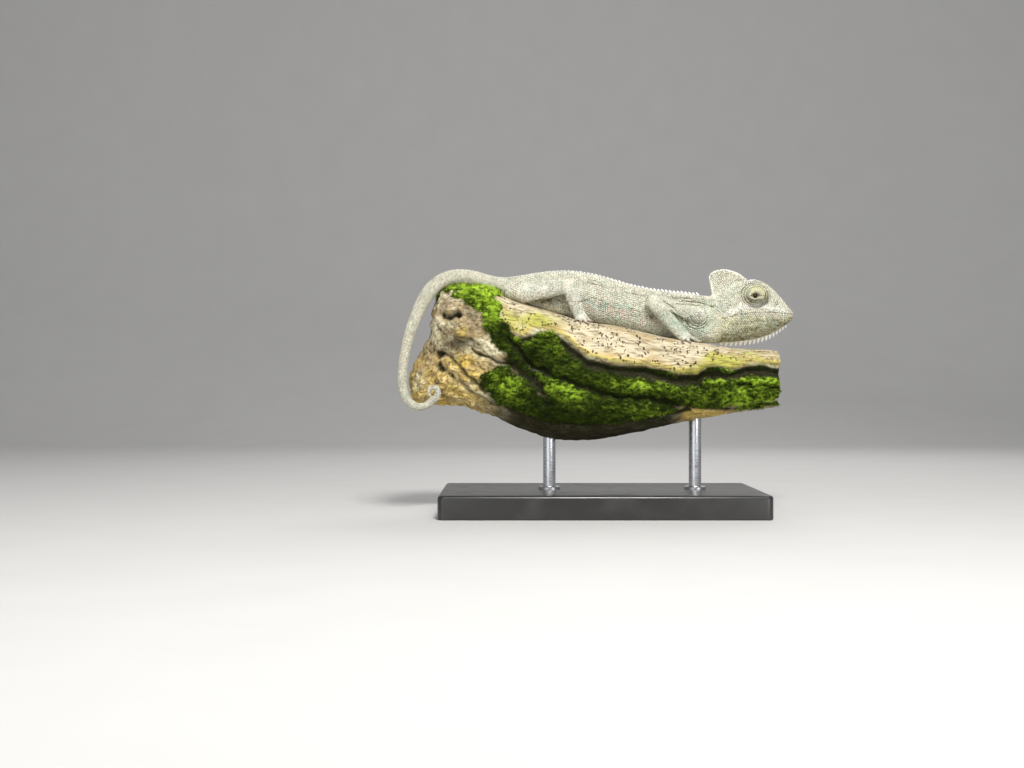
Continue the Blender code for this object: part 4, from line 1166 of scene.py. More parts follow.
def coat_mesh(name, template, faces, base, axes, sizes, flat, values):
    """One mesh of many copies of a template: each stands on its base, along its own
    axes and at its own sizes, and its patch on the unwrap lies at its root's place."""
    count, each = len(base), len(template)
    placed = base[:, None] + sum((template[None, :, k] * size[:, None])[..., None] * way[:, None]
                                 for k, (way, size) in enumerate(zip(axes, sizes)))
    mesh = mesh_of(name, placed.reshape(-1, 3), spread(faces, count, each))
    add_values(mesh, {key: np.broadcast_to(v[:, None] if len(v) == count else v, (count, each)).ravel()
                      for key, v in values.items()})
    corner = read(mesh.loops, "vertex_index", kind=np.int32)
    patch = flat[:, None] + np.clip(template[None, :, :2], -1, 1) * PATCH
    unwrap = mesh.uv_layers.new(name="OFBake")
    unwrap.data.foreach_set("uv", patch.reshape(-1, 2)[corner].astype(np.float32).ravel())
    return mesh


# %% The scales of each part
def scale_piece(name, chosen, seed):
    """The domes of one part: each has a size and tone of its own, and the skin's masks."""
    base, up = near[chosen], normal[chosen]
    lie = unit(roots["lie"][chosen] - up * np.einsum("ij,ij->i", roots["lie"][chosen], up)[:, None])
    vary = chance((3, len(base)), seed)
    tubercle = np.where(vary[0] > PLAIN_SHARE, TUBERCLE, 1.0)
    fill = FILL * (0.9 + 0.2 * vary[1]) * tubercle
    long, wide = roots["long"][chosen] * fill, roots["wide"][chosen] * fill
    high = 0.5 * np.minimum(long, wide) * (0.85 + 0.3 * vary[2]) * tubercle
    flat = roots["flat"][chosen] * (0.94, 0.9) + (0.03, 0.05)
    flat[:, 1] = (flat[:, 1] + root_island[chosen]) / (int(root_island[chosen].max()) + 1)
    values = {**masks(base), "tone": vary[1] * 0.6 + vary[2] * 0.4, "crown": dome_crown}
    mesh = coat_mesh(name, dome_points, dome_faces, base, (lie, np.cross(up, lie), up),
                     (long, wide, high), flat, values)
    piece(name, mesh, scale_material)
    return len(base)


halves = np.where(near[:, 1] < 0, "trunk_right", "trunk_left")
coat_label = np.where(root_label == "trunk", halves, root_label)
coats_made = dict.fromkeys(["trunk_right", "trunk_left"] + [label for label in labels if label != "trunk"])
for seed, label in enumerate(coats_made, 100):
    count = scale_piece(f"scales_{label}", (coat_label == label) & keep, seed)
    print(f"scales_{label}", count, "scales,", count * 22, "triangles")

# %% [markdown]
# ## Spines and claws
# The comb on the back and the beard under the jaw are cones of horn-like scale, and the
# claws are hooked horn. They are separate pieces, because they shine and wear in another
# way than the skin. One curved cone is the template for every spine.

# %% A curved cone, repeated
SPINE_SIDES, SPINE_ROWS = 10, 7
rise = np.linspace(0, 1, SPINE_ROWS)[:, None]
turns = (np.arange(SPINE_SIDES) / SPINE_SIDES * TURN)[None, :]
girth = (1 - rise) ** 0.68 + 0.02
spine_grid = np.stack(np.broadcast_arrays(
    girth * np.cos(turns) + 0.55 * rise**2, girth * np.sin(turns), rise), -1)
spine_points, spine_faces = shell(spine_grid)
spine_crown = np.clip(spine_points[:, 2], 0, 1)

spine_material, tree, shader = new_material("spine_horn", Roughness=0.42, Specular_IOR_Level=0.45)
out = add(tree, "Group", {"Tone": number_of(tree, "tone"), "Crown": 1.0}, node_tree=markings)
tipped = ramp(number_of(tree, "crown"), 0.0, 0.25)
wire(shader, {"Base Color": blend(tipped, out["Color"], (0.97, 0.95, 0.87)),
              "Normal": bump(grain(in_millimetres(tree, (1, 1, 3)), 0.3), 0.03, 0.5)})


def spine_piece(name, base, up, back, length, radius, thin):
    """Cones on their bases: up is where each points, back is where its tip bends."""
    base, up = np.asarray(base, float), unit(np.asarray(up, float))
    back = unit(back - up * np.einsum("ij,ij->i", np.broadcast_to(back, up.shape), up)[:, None])
    count = len(base)
    flat = np.stack([np.linspace(0.05, 0.95, count), np.full(count, 0.5)], 1)
    values = {**masks(base), "tone": chance(count, 200), "crown": spine_crown}
    mesh = coat_mesh(name, spine_points, spine_faces, base, (back, np.cross(up, back), up),
                     (radius, radius * thin, length), flat, values)
    piece(name, mesh, spine_material)


# %% Beard
BEARD_FROM, BEARD_TO, BEARD_COUNT = 57.6, 87.8, 17
COMB_FROM, COMB_TO, COMB_STEP = 46.6, -24.0, 1.85
TAIL_COMB_FROM, TAIL_COMB_TO, TAIL_COMB_STEP = -44.0, 52.0, 1.25
BACKWARD, DOWN_BACK, UPWARD = (np.array([way]) for way in ((-1.0, 0, 0), (-0.7, 0, -0.7), (0, 0.02, 1.0)))


def along_back(x, deep):
    """Places in the middle plane, a little under the ridge of the back."""
    return np.stack([x, 0 * x, through(x, TRUNK_X, BACK_Z) - deep], 1)


share = np.arange(BEARD_COUNT) / (BEARD_COUNT - 1)
x = BEARD_FROM + (BEARD_TO - BEARD_FROM) * (1.32 * share - 0.32 * share**2)
spacing = (BEARD_TO - BEARD_FROM) * (1.32 - 0.64 * share) / (BEARD_COUNT - 1)
keel = through(x, HEAD_X, HEAD_LINES[-1][0])
slope = through(x + 0.5, HEAD_X, HEAD_LINES[-1][0]) - keel
size = 0.75 + 1.6 * np.sin(math.pi * (0.06 + 0.8 * (1 - share)))
lean = np.stack([1.2 * slope - 0.12, 0 * x, -np.ones_like(x)], 1)
base = np.stack([x, 0 * x, keel + 0.35], 1)
spine_piece("beard", base, lean, BACKWARD, size + 0.65, 0.5 * spacing, 0.9)
print("beard:", len(x), "spines")

# %% Comb on the back and tail
x = np.arange(COMB_FROM, COMB_TO, -COMB_STEP)
share = (x - COMB_TO) / (COMB_FROM - COMB_TO)
comb_size = (0.4 + 1.05 * share**0.7) * (0.85 + 0.3 * chance(len(x), 201)) + 0.4
comb_up = np.stack([np.full(len(x), -0.4), 0 * x, np.ones(len(x))], 1)
spine_piece("comb", along_back(x, 0.45), comb_up, BACKWARD, comb_size, 0.46 + 0.2 * share, 0.75)

x = np.arange(COMB_TO, TAIL_COMB_FROM, -TAIL_COMB_STEP)
s = np.arange(1.0, TAIL_COMB_TO, TAIL_COMB_STEP)
ridge = tail(s, math.pi / 2)
out_way = unit(ridge - tail(s, -math.pi / 2))
base = np.concatenate([along_back(x, 0.3), ridge - 0.12 * out_way])
out_way = np.concatenate([np.tile([-0.3, 0, 1.0], (len(x), 1)), out_way])
small = 0.42 * np.linspace(1.1, 0.6, len(base))
spine_piece("tail_comb", base, out_way, DOWN_BACK, small, small * 0.9, 0.8)
print("comb:", len(comb_size), "spines on the back and", len(base), "on the tail")

# %% Casque rim
along = np.linspace(0.03, 0.97, 44)
rim = casque(along, 0.0)
outward = unit(rim - casque(along, 0.25) * (1, 0, 1))
spine_piece("casque_rim", rim - outward * 0.45, outward, UPWARD,
            np.full(len(along), 0.62), np.full(len(along), 0.5), 1.1)
print("casque rim:", len(along), "granules")

# %% Claws
CLAW_RADII, CLAW_FLAT = [0.56, 0.6, 0.4, 0.08], 0.8
claw_material, tree, shader = new_material("claw_horn", Roughness=0.3, Specular_IOR_Level=0.5)
streak = grain(in_millimetres(tree, (3, 1, 1)), 0.3)
horn = coats((0.56, 0.46, 0.38), (number_of(tree, "reach"), (0.13, 0.09, 0.065)),
             (ramp(streak, 0.4, 0.7, 0.0, 0.35), (0.12, 0.06, 0.04)))
wire(shader, {"Base Color": horn, "Roughness": ramp(streak, 0.3, 0.7, 0.26, 0.42)})
for name, paths in claws.items():
    shells = [sampled(limb(path, CLAW_RADII, CLAW_FLAT), 22, 12) for path in paths]
    mesh = mesh_of("claws_" + name, *joined(shells))
    reach = [np.linalg.norm(p - np.array(path[0]), axis=1) for (p, _), path in zip(shells, paths)]
    add_values(mesh, {"reach": ease(np.concatenate(reach), 0.2, 2.4)})
    piece("claws_" + name, mesh, claw_material)
print("claws on", len(claws), "feet")

# %% [markdown]
# ## Eyeballs
# Behind the lids sits a dark ball whose clear front bulges a little. A ball with a bell
# added round its front pole gives both, and a wet coat on the shader gives the catch of
# light. The iris is a gold ring round a dark pupil, painted by the distance from the
# eye's own axis, which a Mapping node centres.

# %% Eyes
PUPIL, IRIS, BALL = 1.12, 1.26, 2.85
CORNEA_HIGH, CORNEA_WIDE = 0.22, 0.42  # the bulge in mm, and its width as an angle
EYE_BALL = np.array([72.05, 6.35, 102.02])


def eyeball(mirror):
    """A ball plus a bell at the front, as (share from front pole to back, turn)."""
    def surface(t, turn):
        t, turn = np.broadcast_arrays(t, turn)
        angle = t * math.pi
        radius = BALL + CORNEA_HIGH * bell(angle, CORNEA_WIDE)
        ring = np.sin(angle)
        way = np.stack([ring * np.cos(turn), mirror * np.cos(angle), ring * np.sin(turn)], -1)
        return EYE_BALL * (1, mirror, 1) + way * radius[..., None]

    return surface


eye_material, tree, shader = new_material(
    "wet_eye", Roughness=0.35, Coat_Weight=0.1, Coat_Roughness=0.04, Specular_IOR_Level=0.15)
centred = add(tree, "Mapping", {"Vector": add(tree, "TexCoord")["Object"], "Scale": [1 / MM, 0, 1 / MM],
                                "Location": [-EYE_BALL[0], 0, -EYE_BALL[2]]})
radius = add(tree, "VectorMath", {0: centred}, operation="LENGTH")["Value"]
iris = blend(grain(in_millimetres(tree), 0.16), (0.30, 0.20, 0.06), (0.60, 0.46, 0.18))
wire(shader, {"Base Color": coats(
    (0.006, 0.004, 0.003), (ramp(radius, PUPIL - 0.08, PUPIL + 0.05), iris),
    (ramp(radius, IRIS - 0.05, IRIS + 0.1), (0.24, 0.19, 0.06)))})
for side, mirror in (("right", -1), ("left", 1)):
    mesh = mesh_of("eye_" + side, *sampled(eyeball(mirror), 40, 48))
    piece("eye_" + side, mesh, eye_material, ["eyeball_" + side])
print("eyes made")

# %% [markdown]
# ## Driftwood
# The perch is an old water-worn branch: bleached on its sunlit shoulder, grey and lumpy
# at its broken end, furrowed along the grain, and mossy in the damp of its flank. Its
# plain form is the CAD section. Relief is added along the surface's normals: grain noise
# stretched along the branch, named furrows, and a few lumps and hollows.

# %% Sections at even steps
def section(x, turn):
    """The wood's section: a superellipse, flat above and rounder below."""
    x, turn = np.broadcast_arrays(x, turn)
    waist, tall, half, middle = log_measures(x)
    c, s = -np.sin(turn), np.cos(turn)
    power = np.where(s > 0, 2 / LOG_FLAT, 2 / LOG_ROUND)
    return np.stack([x, middle + half * np.sign(c) * np.abs(c) ** power,
                     waist + tall * np.sign(s) * np.abs(s) ** power], -1)


LOG_ROWS, LOG_AROUND, CUT_RINGS = 380, 236, 22
fine_x = np.linspace(LOG_X[0], LOG_X[-1], 4000)
waist, tall, half, _ = log_measures(fine_x)
steps = np.maximum.reduce([np.abs(np.diff(line)) for line in (waist + tall, waist - tall, half)])
run = np.concatenate([[0], np.cumsum(np.hypot(np.diff(fine_x), 0.7 * steps))])
stations = np.interp(np.linspace(0, run[-1], LOG_ROWS), run, fine_x)
fine_turn = np.linspace(0, TURN, 1441)
_, mark_at = by_length(section(stations[:, None], fine_turn[None, :]), fine_turn)
row = np.repeat(np.arange(LOG_ROWS), LOG_AROUND)
part = np.tile(np.arange(LOG_AROUND) / LOG_AROUND, LOG_ROWS)
bark = section(stations[row], mark_at(row, part)).reshape(LOG_ROWS, LOG_AROUND, 3)
along = np.gradient(bark, axis=0)
round_ = np.roll(bark, -1, axis=1) - np.roll(bark, 1, axis=1)
outward = unit(np.cross(round_, along))
outward *= np.sign((outward * (bark - bark.mean(axis=1, keepdims=True))).sum(-1).mean())
print("wood grid:", bark.shape)

# %% Lines and lumps on the wood
SHOULDER_X = [-53.0, -46.0, -41.0, -36.0, -31.5, -25.0, -19.0, -12.5, -6.5, -1.0,
              11.0, 23.0, 35.0, 42.0, 49.5, 59.0, 68.0, 84.0]
SHOULDER_Z = [96.0, 87.4, 84.2, 82.4, 85.0, 84.7, 82.0, 76.4, 72.2, 70.8,
              68.5, 67.5, 64.4, 64.4, 68.0, 66.8, 69.0, 67.8]
CREVICE = [(33.0, 50.6), (53.0, 48.8), (65.0, 48.2), (84.0, 46.5)]
# each line: its course from the side, depth (a ridge's is negative) and width
WOOD_LINES = [
    ([(x, z - 2.2) for x, z in zip(SHOULDER_X[6:], SHOULDER_Z[6:])], 2.6, 2.2),
    ([(-37.5, 80.8), (-32, 82.3), (-28, 82.4)], 2.0, 1.4),
    ([(-43, 82), (-35, 71.5), (-28.8, 68.1), (-25, 66.2), (-12.6, 61.1), (-1, 57), (11, 54.7),
      (23, 54.2), (34, 51.8)], 2.4, 1.9),
    (CREVICE, 1.4, 0.8),
    ([(-43.6, 70.8), (-38, 66.2), (-32.5, 62.5), (-26.5, 56)], 1.0, 2.4),
    ([(-60.2, 77.0), (-54.6, 73.4), (-48.2, 71.0), (-42.6, 70.2)], 1.6, 0.9),
    ([(-62.5, 84.0), (-56.5, 80.2), (-49.6, 76.0), (-44.5, 73.2)], -1.4, 2.6),
    ([(-76, 76.2), (-71.2, 73.6), (-66.2, 69.9), (-62.5, 64.8), (-58.8, 61.6), (-53.7, 57.4)], 1.15, 1.2),
    ([(-76, 68.4), (-68.7, 62.5), (-62.5, 58.8), (-56.5, 55.1), (-51.9, 51)], 0.85, 1.2),
    ([(-75, 72), (-66, 65.5), (-58, 58), (-52, 53.5)], -1.0, 1.6),
    ([(-78, 88), (-73, 84), (-70, 79), (-71, 75)], 0.9, 0.8),
    ([(-45, 50), (-25, 43), (0, 41.5), (25, 45), (40, 48)], 1.1, 1.2),
    ([(40, 60.5), (52, 59.4), (66, 60.6), (84, 58.5)], 0.9, 0.9),
]
# each lump: centre, radii, height (a hollow's is negative)
WOOD_LUMPS = [
    ((-69.0, -9.0, 96.6), (4.6, 6.0, 3.4), 1.9),
    ((-70.4, -9.0, 91.8), (1.9, 6.0, 1.3), -2.8),
    ((-67.0, -9.0, 93.0), (2.3, 6.0, 1.5), -3.4),
    ((46.0, -18.0, 64.2), (9.0, 8.0, 1.9), -1.7),
    ((-73.4, -8.0, 92.6), (1.4, 5.0, 1.3), -1.6),
    ((-66.2, -10.0, 97.2), (2.2, 6.0, 2.0), 0.9),
    ((-74.5, -8.0, 98.5), (1.8, 5.0, 2.6), -0.4),
    ((-64.8, -11.0, 84.4), (3.4, 6.0, 3.2), 1.2),
    ((-63.2, -12.0, 71.6), (4.6, 6.0, 3.8), 1.5),
    ((-73.0, -8.0, 81.0), (3.2, 6.0, 5.0), 0.9),
    ((-60.0, -11.0, 92.5), (3.0, 6.0, 4.0), -0.7),
    ((-80.0, 2.0, 68.0), (4.0, 4.0, 4.0), 0.8),
    ((-60.0, 18.0, 90.0), (4.0, 6.0, 4.0), 1.4),
    ((-66.0, 18.0, 78.0), (3.0, 6.0, 2.0), -1.8),
    ((20.0, 22.0, 60.0), (5.0, 6.0, 4.0), -1.3),
    ((-30.0, 20.0, 70.0), (6.0, 6.0, 4.0), 1.2),
]
OCHRE_LUMPS, SHADED_GROOVE = WOOD_LUMPS[7:9], WOOD_LINES[4][0]
print(len(WOOD_LINES), "lines and", len(WOOD_LUMPS), "lumps on the wood")


# %% Places and directions on the wood
def flow_of(points):
    """Coordinates that run with the branch: length squeezed, height as a share of it."""
    waist, tall, _, _ = log_measures(points[:, 0])
    return np.column_stack([points[:, 0] * 0.13, points[:, 1], (points[:, 2] - waist) / tall * 20])


def flank_view(points):
    """Side-view places for the named lines, shifted on the far flank so that the two
    flanks aren't twins, and shaken a little so that no line is smooth."""
    far = points[:, 1] > log_measures(points[:, 0])[3]
    shake = np.stack([noise(points, 4, seed) for seed in (14, 15, 16)], 1) * (1.2, 0, 0.8)
    return points + shake + np.where(far[:, None], (9.0, 0.0, 1.2), (0.0, 0.0, 0.0))


def above_shoulder(seen):
    """Height over the lower edge of the sunlit shoulder."""
    return seen[:, 2] - through(seen[:, 0], SHOULDER_X, SHOULDER_Z)


# %% Relief of the wood
def wood_relief(points, normals):
    """Height of the relief and how dark its hollows are painted, as shade: ridges of grain,
    coarse lumps at the broken end, the named lines and lumps, all calm where the animal rests."""
    flow, seen = flow_of(points), flank_view(points)
    x = points[:, 0]
    flank = ease(np.abs(normals[:, 1]), 0.2, 0.5)
    ridged = 1 - np.abs(noise(flow + 0.6 * fractal(points, 9, 2, 5)[:, None], 2.4, 6))
    relief = 0.8 * (ridged**2 - 0.55) + 0.25 * fractal(flow * (2.2, 1, 1), 0.9, 2, 8)
    knobby = 1 - np.abs(fractal(points + 0.8 * noise(points, 3, 31)[:, None], 5.5, 3, 32))
    coarse = 1.3 * fractal(points, 7.5, 3, 9) + 1.0 * (knobby**2 - 0.6) + 0.45 * fractal(points, 1.7, 2, 33)
    relief += (1 - ease(x, -60, -42)) * coarse
    relief += 0.35 * fractal(points, 15, 2, 12) + 0.8 * bell(above_shoulder(seen) - 3, 3) * flank
    hollow_shade = np.zeros(len(points))
    for path, deep, width in WOOD_LINES:
        pressed = band(seen, path, width) * flank
        relief -= deep * pressed
        hollow_shade = np.maximum(hollow_shade, pressed * min(1.0, max(deep, 0) / 1.2))
    for centre, radii, high in WOOD_LUMPS:
        raised = np.exp(-((((seen - centre) / radii) ** 2).sum(1) ** 1.5))
        relief += high * raised
        hollow_shade = np.maximum(hollow_shade, raised * min(1.0, max(-high, 0) / 1.5))
    rests = window(x, (-80, -70), (60, 70)) * ease(normals[:, 2], 0.5, 0.9)
    relief = np.minimum(relief, 2.0) * (1 - 0.8 * rests) - 0.15 * rests
    return relief, np.clip(np.maximum(hollow_shade, ease(-relief, 0.2, 1.9)), 0, 1)


flat_bark, flat_normal = bark.reshape(-1, 3), outward.reshape(-1, 3)
lift, hollow_shade = wood_relief(flat_bark, flat_normal)
bark = (flat_bark + flat_normal * lift[:, None]).reshape(bark.shape)
print("relief from", round(lift.min(), 2), "to", round(lift.max(), 2), "mm")

# %% Edges and patches of moss
MOSS_BAND = [(-53.7, 101.3), (-52.8, 98.5), (-51.9, 93.9), (-48.6, 87.0), (-44.9, 81.0), (-40.3, 76.4)]
MOSS_LEFT_Z = [40.0, 48.0, 53.0, 60.0, 65.0, 69.0, 73.0, 79.0, 84.0]
MOSS_LEFT_X = [-44.0, -47.0, -52.0, -54.6, -53.7, -47.2, -41.7, -44.5, -46.0]
KNOB_X, KNOB_Z = [-75, -68, -62, -57], [102.6, 101.2, 98.6, 95.5]
# lushness of the darkest moss, whose darkness is painted shade
MOSS_SHADE_LEVEL = 0.035
# lush patches: centre x and z, half length, half height, tilt in degrees, strength
LUSH = [
    (-55, 103, 12, 5, -10, 1.5), (-51, 95, 5, 6, -75, 1.5), (-19.6, 77.0, 13, 4.5, -32, 0.17),
    (-43, 60.2, 8, 5, -45, 0.65), (-18.6, 60.2, 9, 4, -25, 0.85), (22, 60.2, 18, 4, -3, 0.3),
    (63.5, 64.2, 17, 2.4, 0, 2.3), (78, 61.5, 12, 2, 0, 0.9), (66, 55.0, 15, 4, 0, 0.65),
    (17, 48.0, 18, 4, -3, 0.2), (-36, 82.0, 7, 2.5, 10, 0.7), (-24, 84.0, 8, 1.6, -15, 0.9),
]
print(len(LUSH), "lush patches")


# %% Moss cover and lushness
def above_crevice(x, z):
    """Height over the long crevice under the right half."""
    return z - np.interp(x, *zip(*CREVICE))


def moss_share(points, normals):
    """1 under thick moss: all of the wet flank below the shoulder, a band that climbs
    to the knob, and the knob's top, with edges broken along the grain."""
    seen = flank_view(points)
    x, z = seen[:, 0], seen[:, 2]
    torn = fractal(flow_of(points), 3.5, 3, 20)
    waist, tall, _, _ = log_measures(x)
    flank = ease(-above_shoulder(seen) + 1.3 * torn, -0.6, 1.0)
    flank *= ease(x - np.interp(z, MOSS_LEFT_Z, MOSS_LEFT_X) + 3 * torn, -0.8, 1.2)
    flank *= 1 - ease(x, 32, 37) * ease(-above_crevice(x, z) + torn, -0.3, 0.8)
    flank *= ease(z - (waist - 0.78 * tall) + 2.5 * torn, -2, 3)
    climbing = 1 - ease(path_distance(seen, MOSS_BAND) + 1.5 * torn, 3.0, 4.2)
    cover = np.maximum(flank, climbing) * ease(np.abs(normals[:, 1]), 0.1, 0.35)
    top = ease(z - np.interp(x, KNOB_X, KNOB_Z), -0.8, 1.2)
    top *= (1 - ease(points[:, 1] + 3 * torn, 7, 11)) * ease(x + 2 * torn, -77, -73)
    top *= 1 - ease(x + 3 * torn, -50, -46)
    return np.clip(np.maximum(cover, top * ease(1.0 + torn, 0.45, 0.7)), 0, 1)


def lushness(points):
    """0 for dark moss, its darkness painted shade, 1 for bright young moss."""
    seen = flank_view(points)
    best = np.full(len(points), MOSS_SHADE_LEVEL)
    for cx, cz, long, tall, tilt, strength in LUSH:
        c, s = math.cos(math.radians(tilt)), math.sin(math.radians(tilt))
        dx, dz = seen[:, 0] - cx, seen[:, 2] - cz
        best = best + strength * spot(dx * c + dz * s, dz * c - dx * s, (0, 0), (long, tall))
    return np.clip(best * (1 + 0.9 * fractal(points * (0.5, 1, 1), 3.0, 2, 22)), 0, 1)


moss = moss_share(flat_bark, flat_normal) * (1 - 0.55 * hollow_shade)
lush = lushness(flat_bark) * (1 - hollow_shade)
print("moss covers", round(float(moss.mean()) * 100), "% of the wood")

# %% Bleached, tan and yellow wood
x, y, z = flat_bark.T
seen = flank_view(flat_bark)
above = above_shoulder(seen)
torn = fractal(flow_of(flat_bark), 5, 3, 24)
on_shoulder = ease(x, -52, -44) * np.maximum(ease(above, 0, 3), ease(flat_normal[:, 2], 0.3, 0.8))
on_shoulder *= np.maximum(ease(above, -2.2, -0.4), 1 - ease(x, -36, -28))
pale = on_shoulder * (1 - 0.5 * ease(x, 48, 62)) + spot(x, z, (-67, 98.0), (7, 6)) * (0.95 + torn)
lemon = bell(x + 35, 14) * (1 - ease(above, 6, 13)) * (0.9 + torn)
lemon += bell(x - 55, 13) * (1 - ease(above, 5, 9)) * (1.7 + torn)
lemon = on_shoulder * (lemon + 1.1 * bell(above - 0.8, 1.9) * (0.9 + torn))
ochre = 0.9 * (1 - ease(x, -60, -46)) * (1 - ease(z, 62, 80)) * (0.75 + 0.8 * torn)
ochre += 0.75 * on_shoulder * bell(above - 2.4, 1.8)
for centre, radii, _ in OCHRE_LUMPS:
    ochre += 0.9 * np.exp(-(((seen - centre) / (np.array(radii) * (0.7, 1, 0.8))) ** 2).sum(1))
ochre += 0.8 * ease(x, 34, 40) * ease(-above_crevice(x, z), 0, 1) * ease(z, 42, 45)

# %% Painted shade and damp on the wood, its frayed edge and moss dust
waist, tall, _, _ = log_measures(x)
# darker towards the underside: damp wood, and painted shade where the underside faces away from the lamps
damp_and_shade = window(x, (-60, -38), (30, 42)) * (1 - ease(z - waist + 0.8 * tall, 2, 9))
# painted shadow in a band under the overhanging shoulder, where the moss is also thinner and darker
shoulder_shadow = ease(x, -24, -13) * bell(above + 3.3, 2.0)
# painted shade along a groove on the flank, where the moss is thinner
groove_shade = band(seen, SHADED_GROOVE, 3.4)
frayed = on_shoulder * bell(above - 1.6, 2.2) * ease(torn, -0.15, 0.35)
dusting = on_shoulder * bell(above - 0.2, 1.5) * (0.8 + 1.2 * torn)
# dark: painted shade in the hollows, along the underside, under the shoulder, along the groove and in the
# middle of the knob, with the shoulder's frayed edge in its own colour
dark = np.maximum.reduce([
    np.clip(hollow_shade * (1 + 0.5 * ease(x, -50, -42)), 0, 1) ** 1.5, 0.97 * damp_and_shade, 1.15 * shoulder_shadow,
    0.55 * spot(x, z, (-67, 80), (9, 6)) * (0.8 + torn), 0.42 * frayed, 1.3 * groove_shade * (0.8 + torn)])
moss = np.maximum(moss * ((1 - 0.6 * groove_shade) * (1 - 0.45 * shoulder_shadow)), 0.4 * dusting)
lush *= 1 - 0.9 * shoulder_shadow
wood_values = {"moss": moss, "lush": lush, "pale": pale, "lemon": lemon, "ochre": ochre, "dark": dark,
               "ring": 0 * x, "cut": 0 * x}
wood_values = {key: np.clip(value, 0, 1) for key, value in wood_values.items()}
print("wood values:", ", ".join(wood_values))

# %% The sawn end's growth rings
CRACKS, CRACK_WIDE, RING_WIDE = (0.7, 2.4, 4.4, 5.3), 0.03, 1.5
shrink = np.linspace(1, 0.015, CUT_RINGS + 1)[1:, None, None]
heart = np.array([LOG_X[-1], -2.0, 60.0])
end_ring = bark[-1]
face = heart + (end_ring[None] - heart) * shrink
spoke = np.arctan2(end_ring[:, 2] - heart[2], end_ring[:, 1] - heart[1])[None, :]
cracks = [bell(np.angle(np.exp(1j * (spoke - turn))), CRACK_WIDE) for turn in CRACKS]
cracks = np.maximum.reduce(cracks) * ease(shrink[..., 0], 0.25, 0.6)
radius = np.linalg.norm(face - heart, axis=-1)
face[..., 0] -= 0.06 * (1 + np.cos(TURN * radius / RING_WIDE)) + 0.7 * cracks
face[..., 0] -= 0.25 * (1 - ease(shrink[..., 0], 0, 0.1))
# the cracks are darkened as painted shade inside them
cut_values = {"moss": 0, "lush": 0, "pale": 0.3, "lemon": 0, "ochre": 0.3, "dark": cracks.ravel(),
              "ring": radius.ravel(), "cut": 1}
wood_values = {key: np.concatenate([value, np.broadcast_to(cut_values[key], radius.size)])
               for key, value in wood_values.items()}
points, faces = shell(np.concatenate([bark, face]))
wood_mesh = mesh_of("driftwood", points, faces)
add_values(wood_mesh, {key: np.concatenate([value, value[[0, -1]]]) for key, value in wood_values.items()})
flow_layer = wood_mesh.attributes.new("flow", "FLOAT_VECTOR", "POINT")
flow_layer.data.foreach_set("vector", flow_of(points).astype(np.float32).ravel())
print("driftwood:", triangle_count(faces), "triangles")

# %% Moss colour, shared by the wood under it and the tufts
moss_group, given, gives = new_group("moss_colour", {"Tone": 0.5, "Tip": 0.5}, {"Color": "Color"})
clump = ramp(grain(in_millimetres(moss_group, (1.6, 1, 1)), 1.3, 3.0), 0.4, 0.6, 0.15, 1.8)
young = maths("POWER", given["Tone"], 2.5) + 0.14
light = number_of(moss_group, "lush") * clump * 2.6 * young
# a near-black base as painted shade in the moss, brightened to green by lushness and tone, and at the tips
# to yellow green
colour = coats((0.005, 0.012, 0.002), (light, (0.17, 0.33, 0.011)),
               (given["Tip"] * (light + 0.06), (0.56, 0.80, 0.07)))
wire(gives, {"Color": colour})

# %% Wood material
wood_material, tree, shader = new_material("weathered_driftwood", Specular_IOR_Level=0.1)
place = in_millimetres(tree)
bleached = number_of(tree, "pale")
fibre = grain(add(tree, "Attribute", attribute_name="flow")["Vector"], 0.7, 4.0, 0.4)
cloud = grain(place, 7.0, 4.0)
pocket = ramp(grain(place, 1.3, 4.0, 0.3), 0.52, 0.68, 0.0, 0.55) * (1.0 - bleached)
stain = ramp(grain(in_millimetres(tree, (2.5, 1, 1)), 5.0, 3.0), 0.5, 0.66)
from_heart = add(tree, "CombineXYZ", {0: number_of(tree, "ring")})
rings = add(tree, "TexWave", {"Vector": from_heart, "Scale": 0.16, "Distortion": 3.0, "Detail": 3.0})
end_grain = blend(ramp(rings["Fac"], 0.2, 0.8), (0.48, 0.36, 0.21), (0.62, 0.50, 0.33))
wobble = add(tree, "TexNoise", {"Vector": place, "Scale": 0.55, "Detail": 2.0})["Color"]
astray = add(tree, "VectorMath", {0: wobble, 1: (1.6, 1.0, 1.6), 2: in_millimetres(tree, (1.0, 1, 1.2))},
             operation="MULTIPLY_ADD")
cells = add(tree, "TexVoronoi", {"Vector": astray, "Scale": 0.74})
picked = add(tree, "SeparateColor", {0: cells["Color"]})
cluster = ramp(grain(place, 6.0, 1.0), 0.44, 0.56, 0.1, 0.85)
pits = ramp(picked[1] * 0.26 + 0.24 - cells["Distance"], 0.0, 0.08)
pits = pits * (maths("LESS_THAN", picked[0], cluster) * bleached)
under_moss = add(tree, "Group", {"Tone": 0.3, "Tip": 0.1}, node_tree=moss_group)
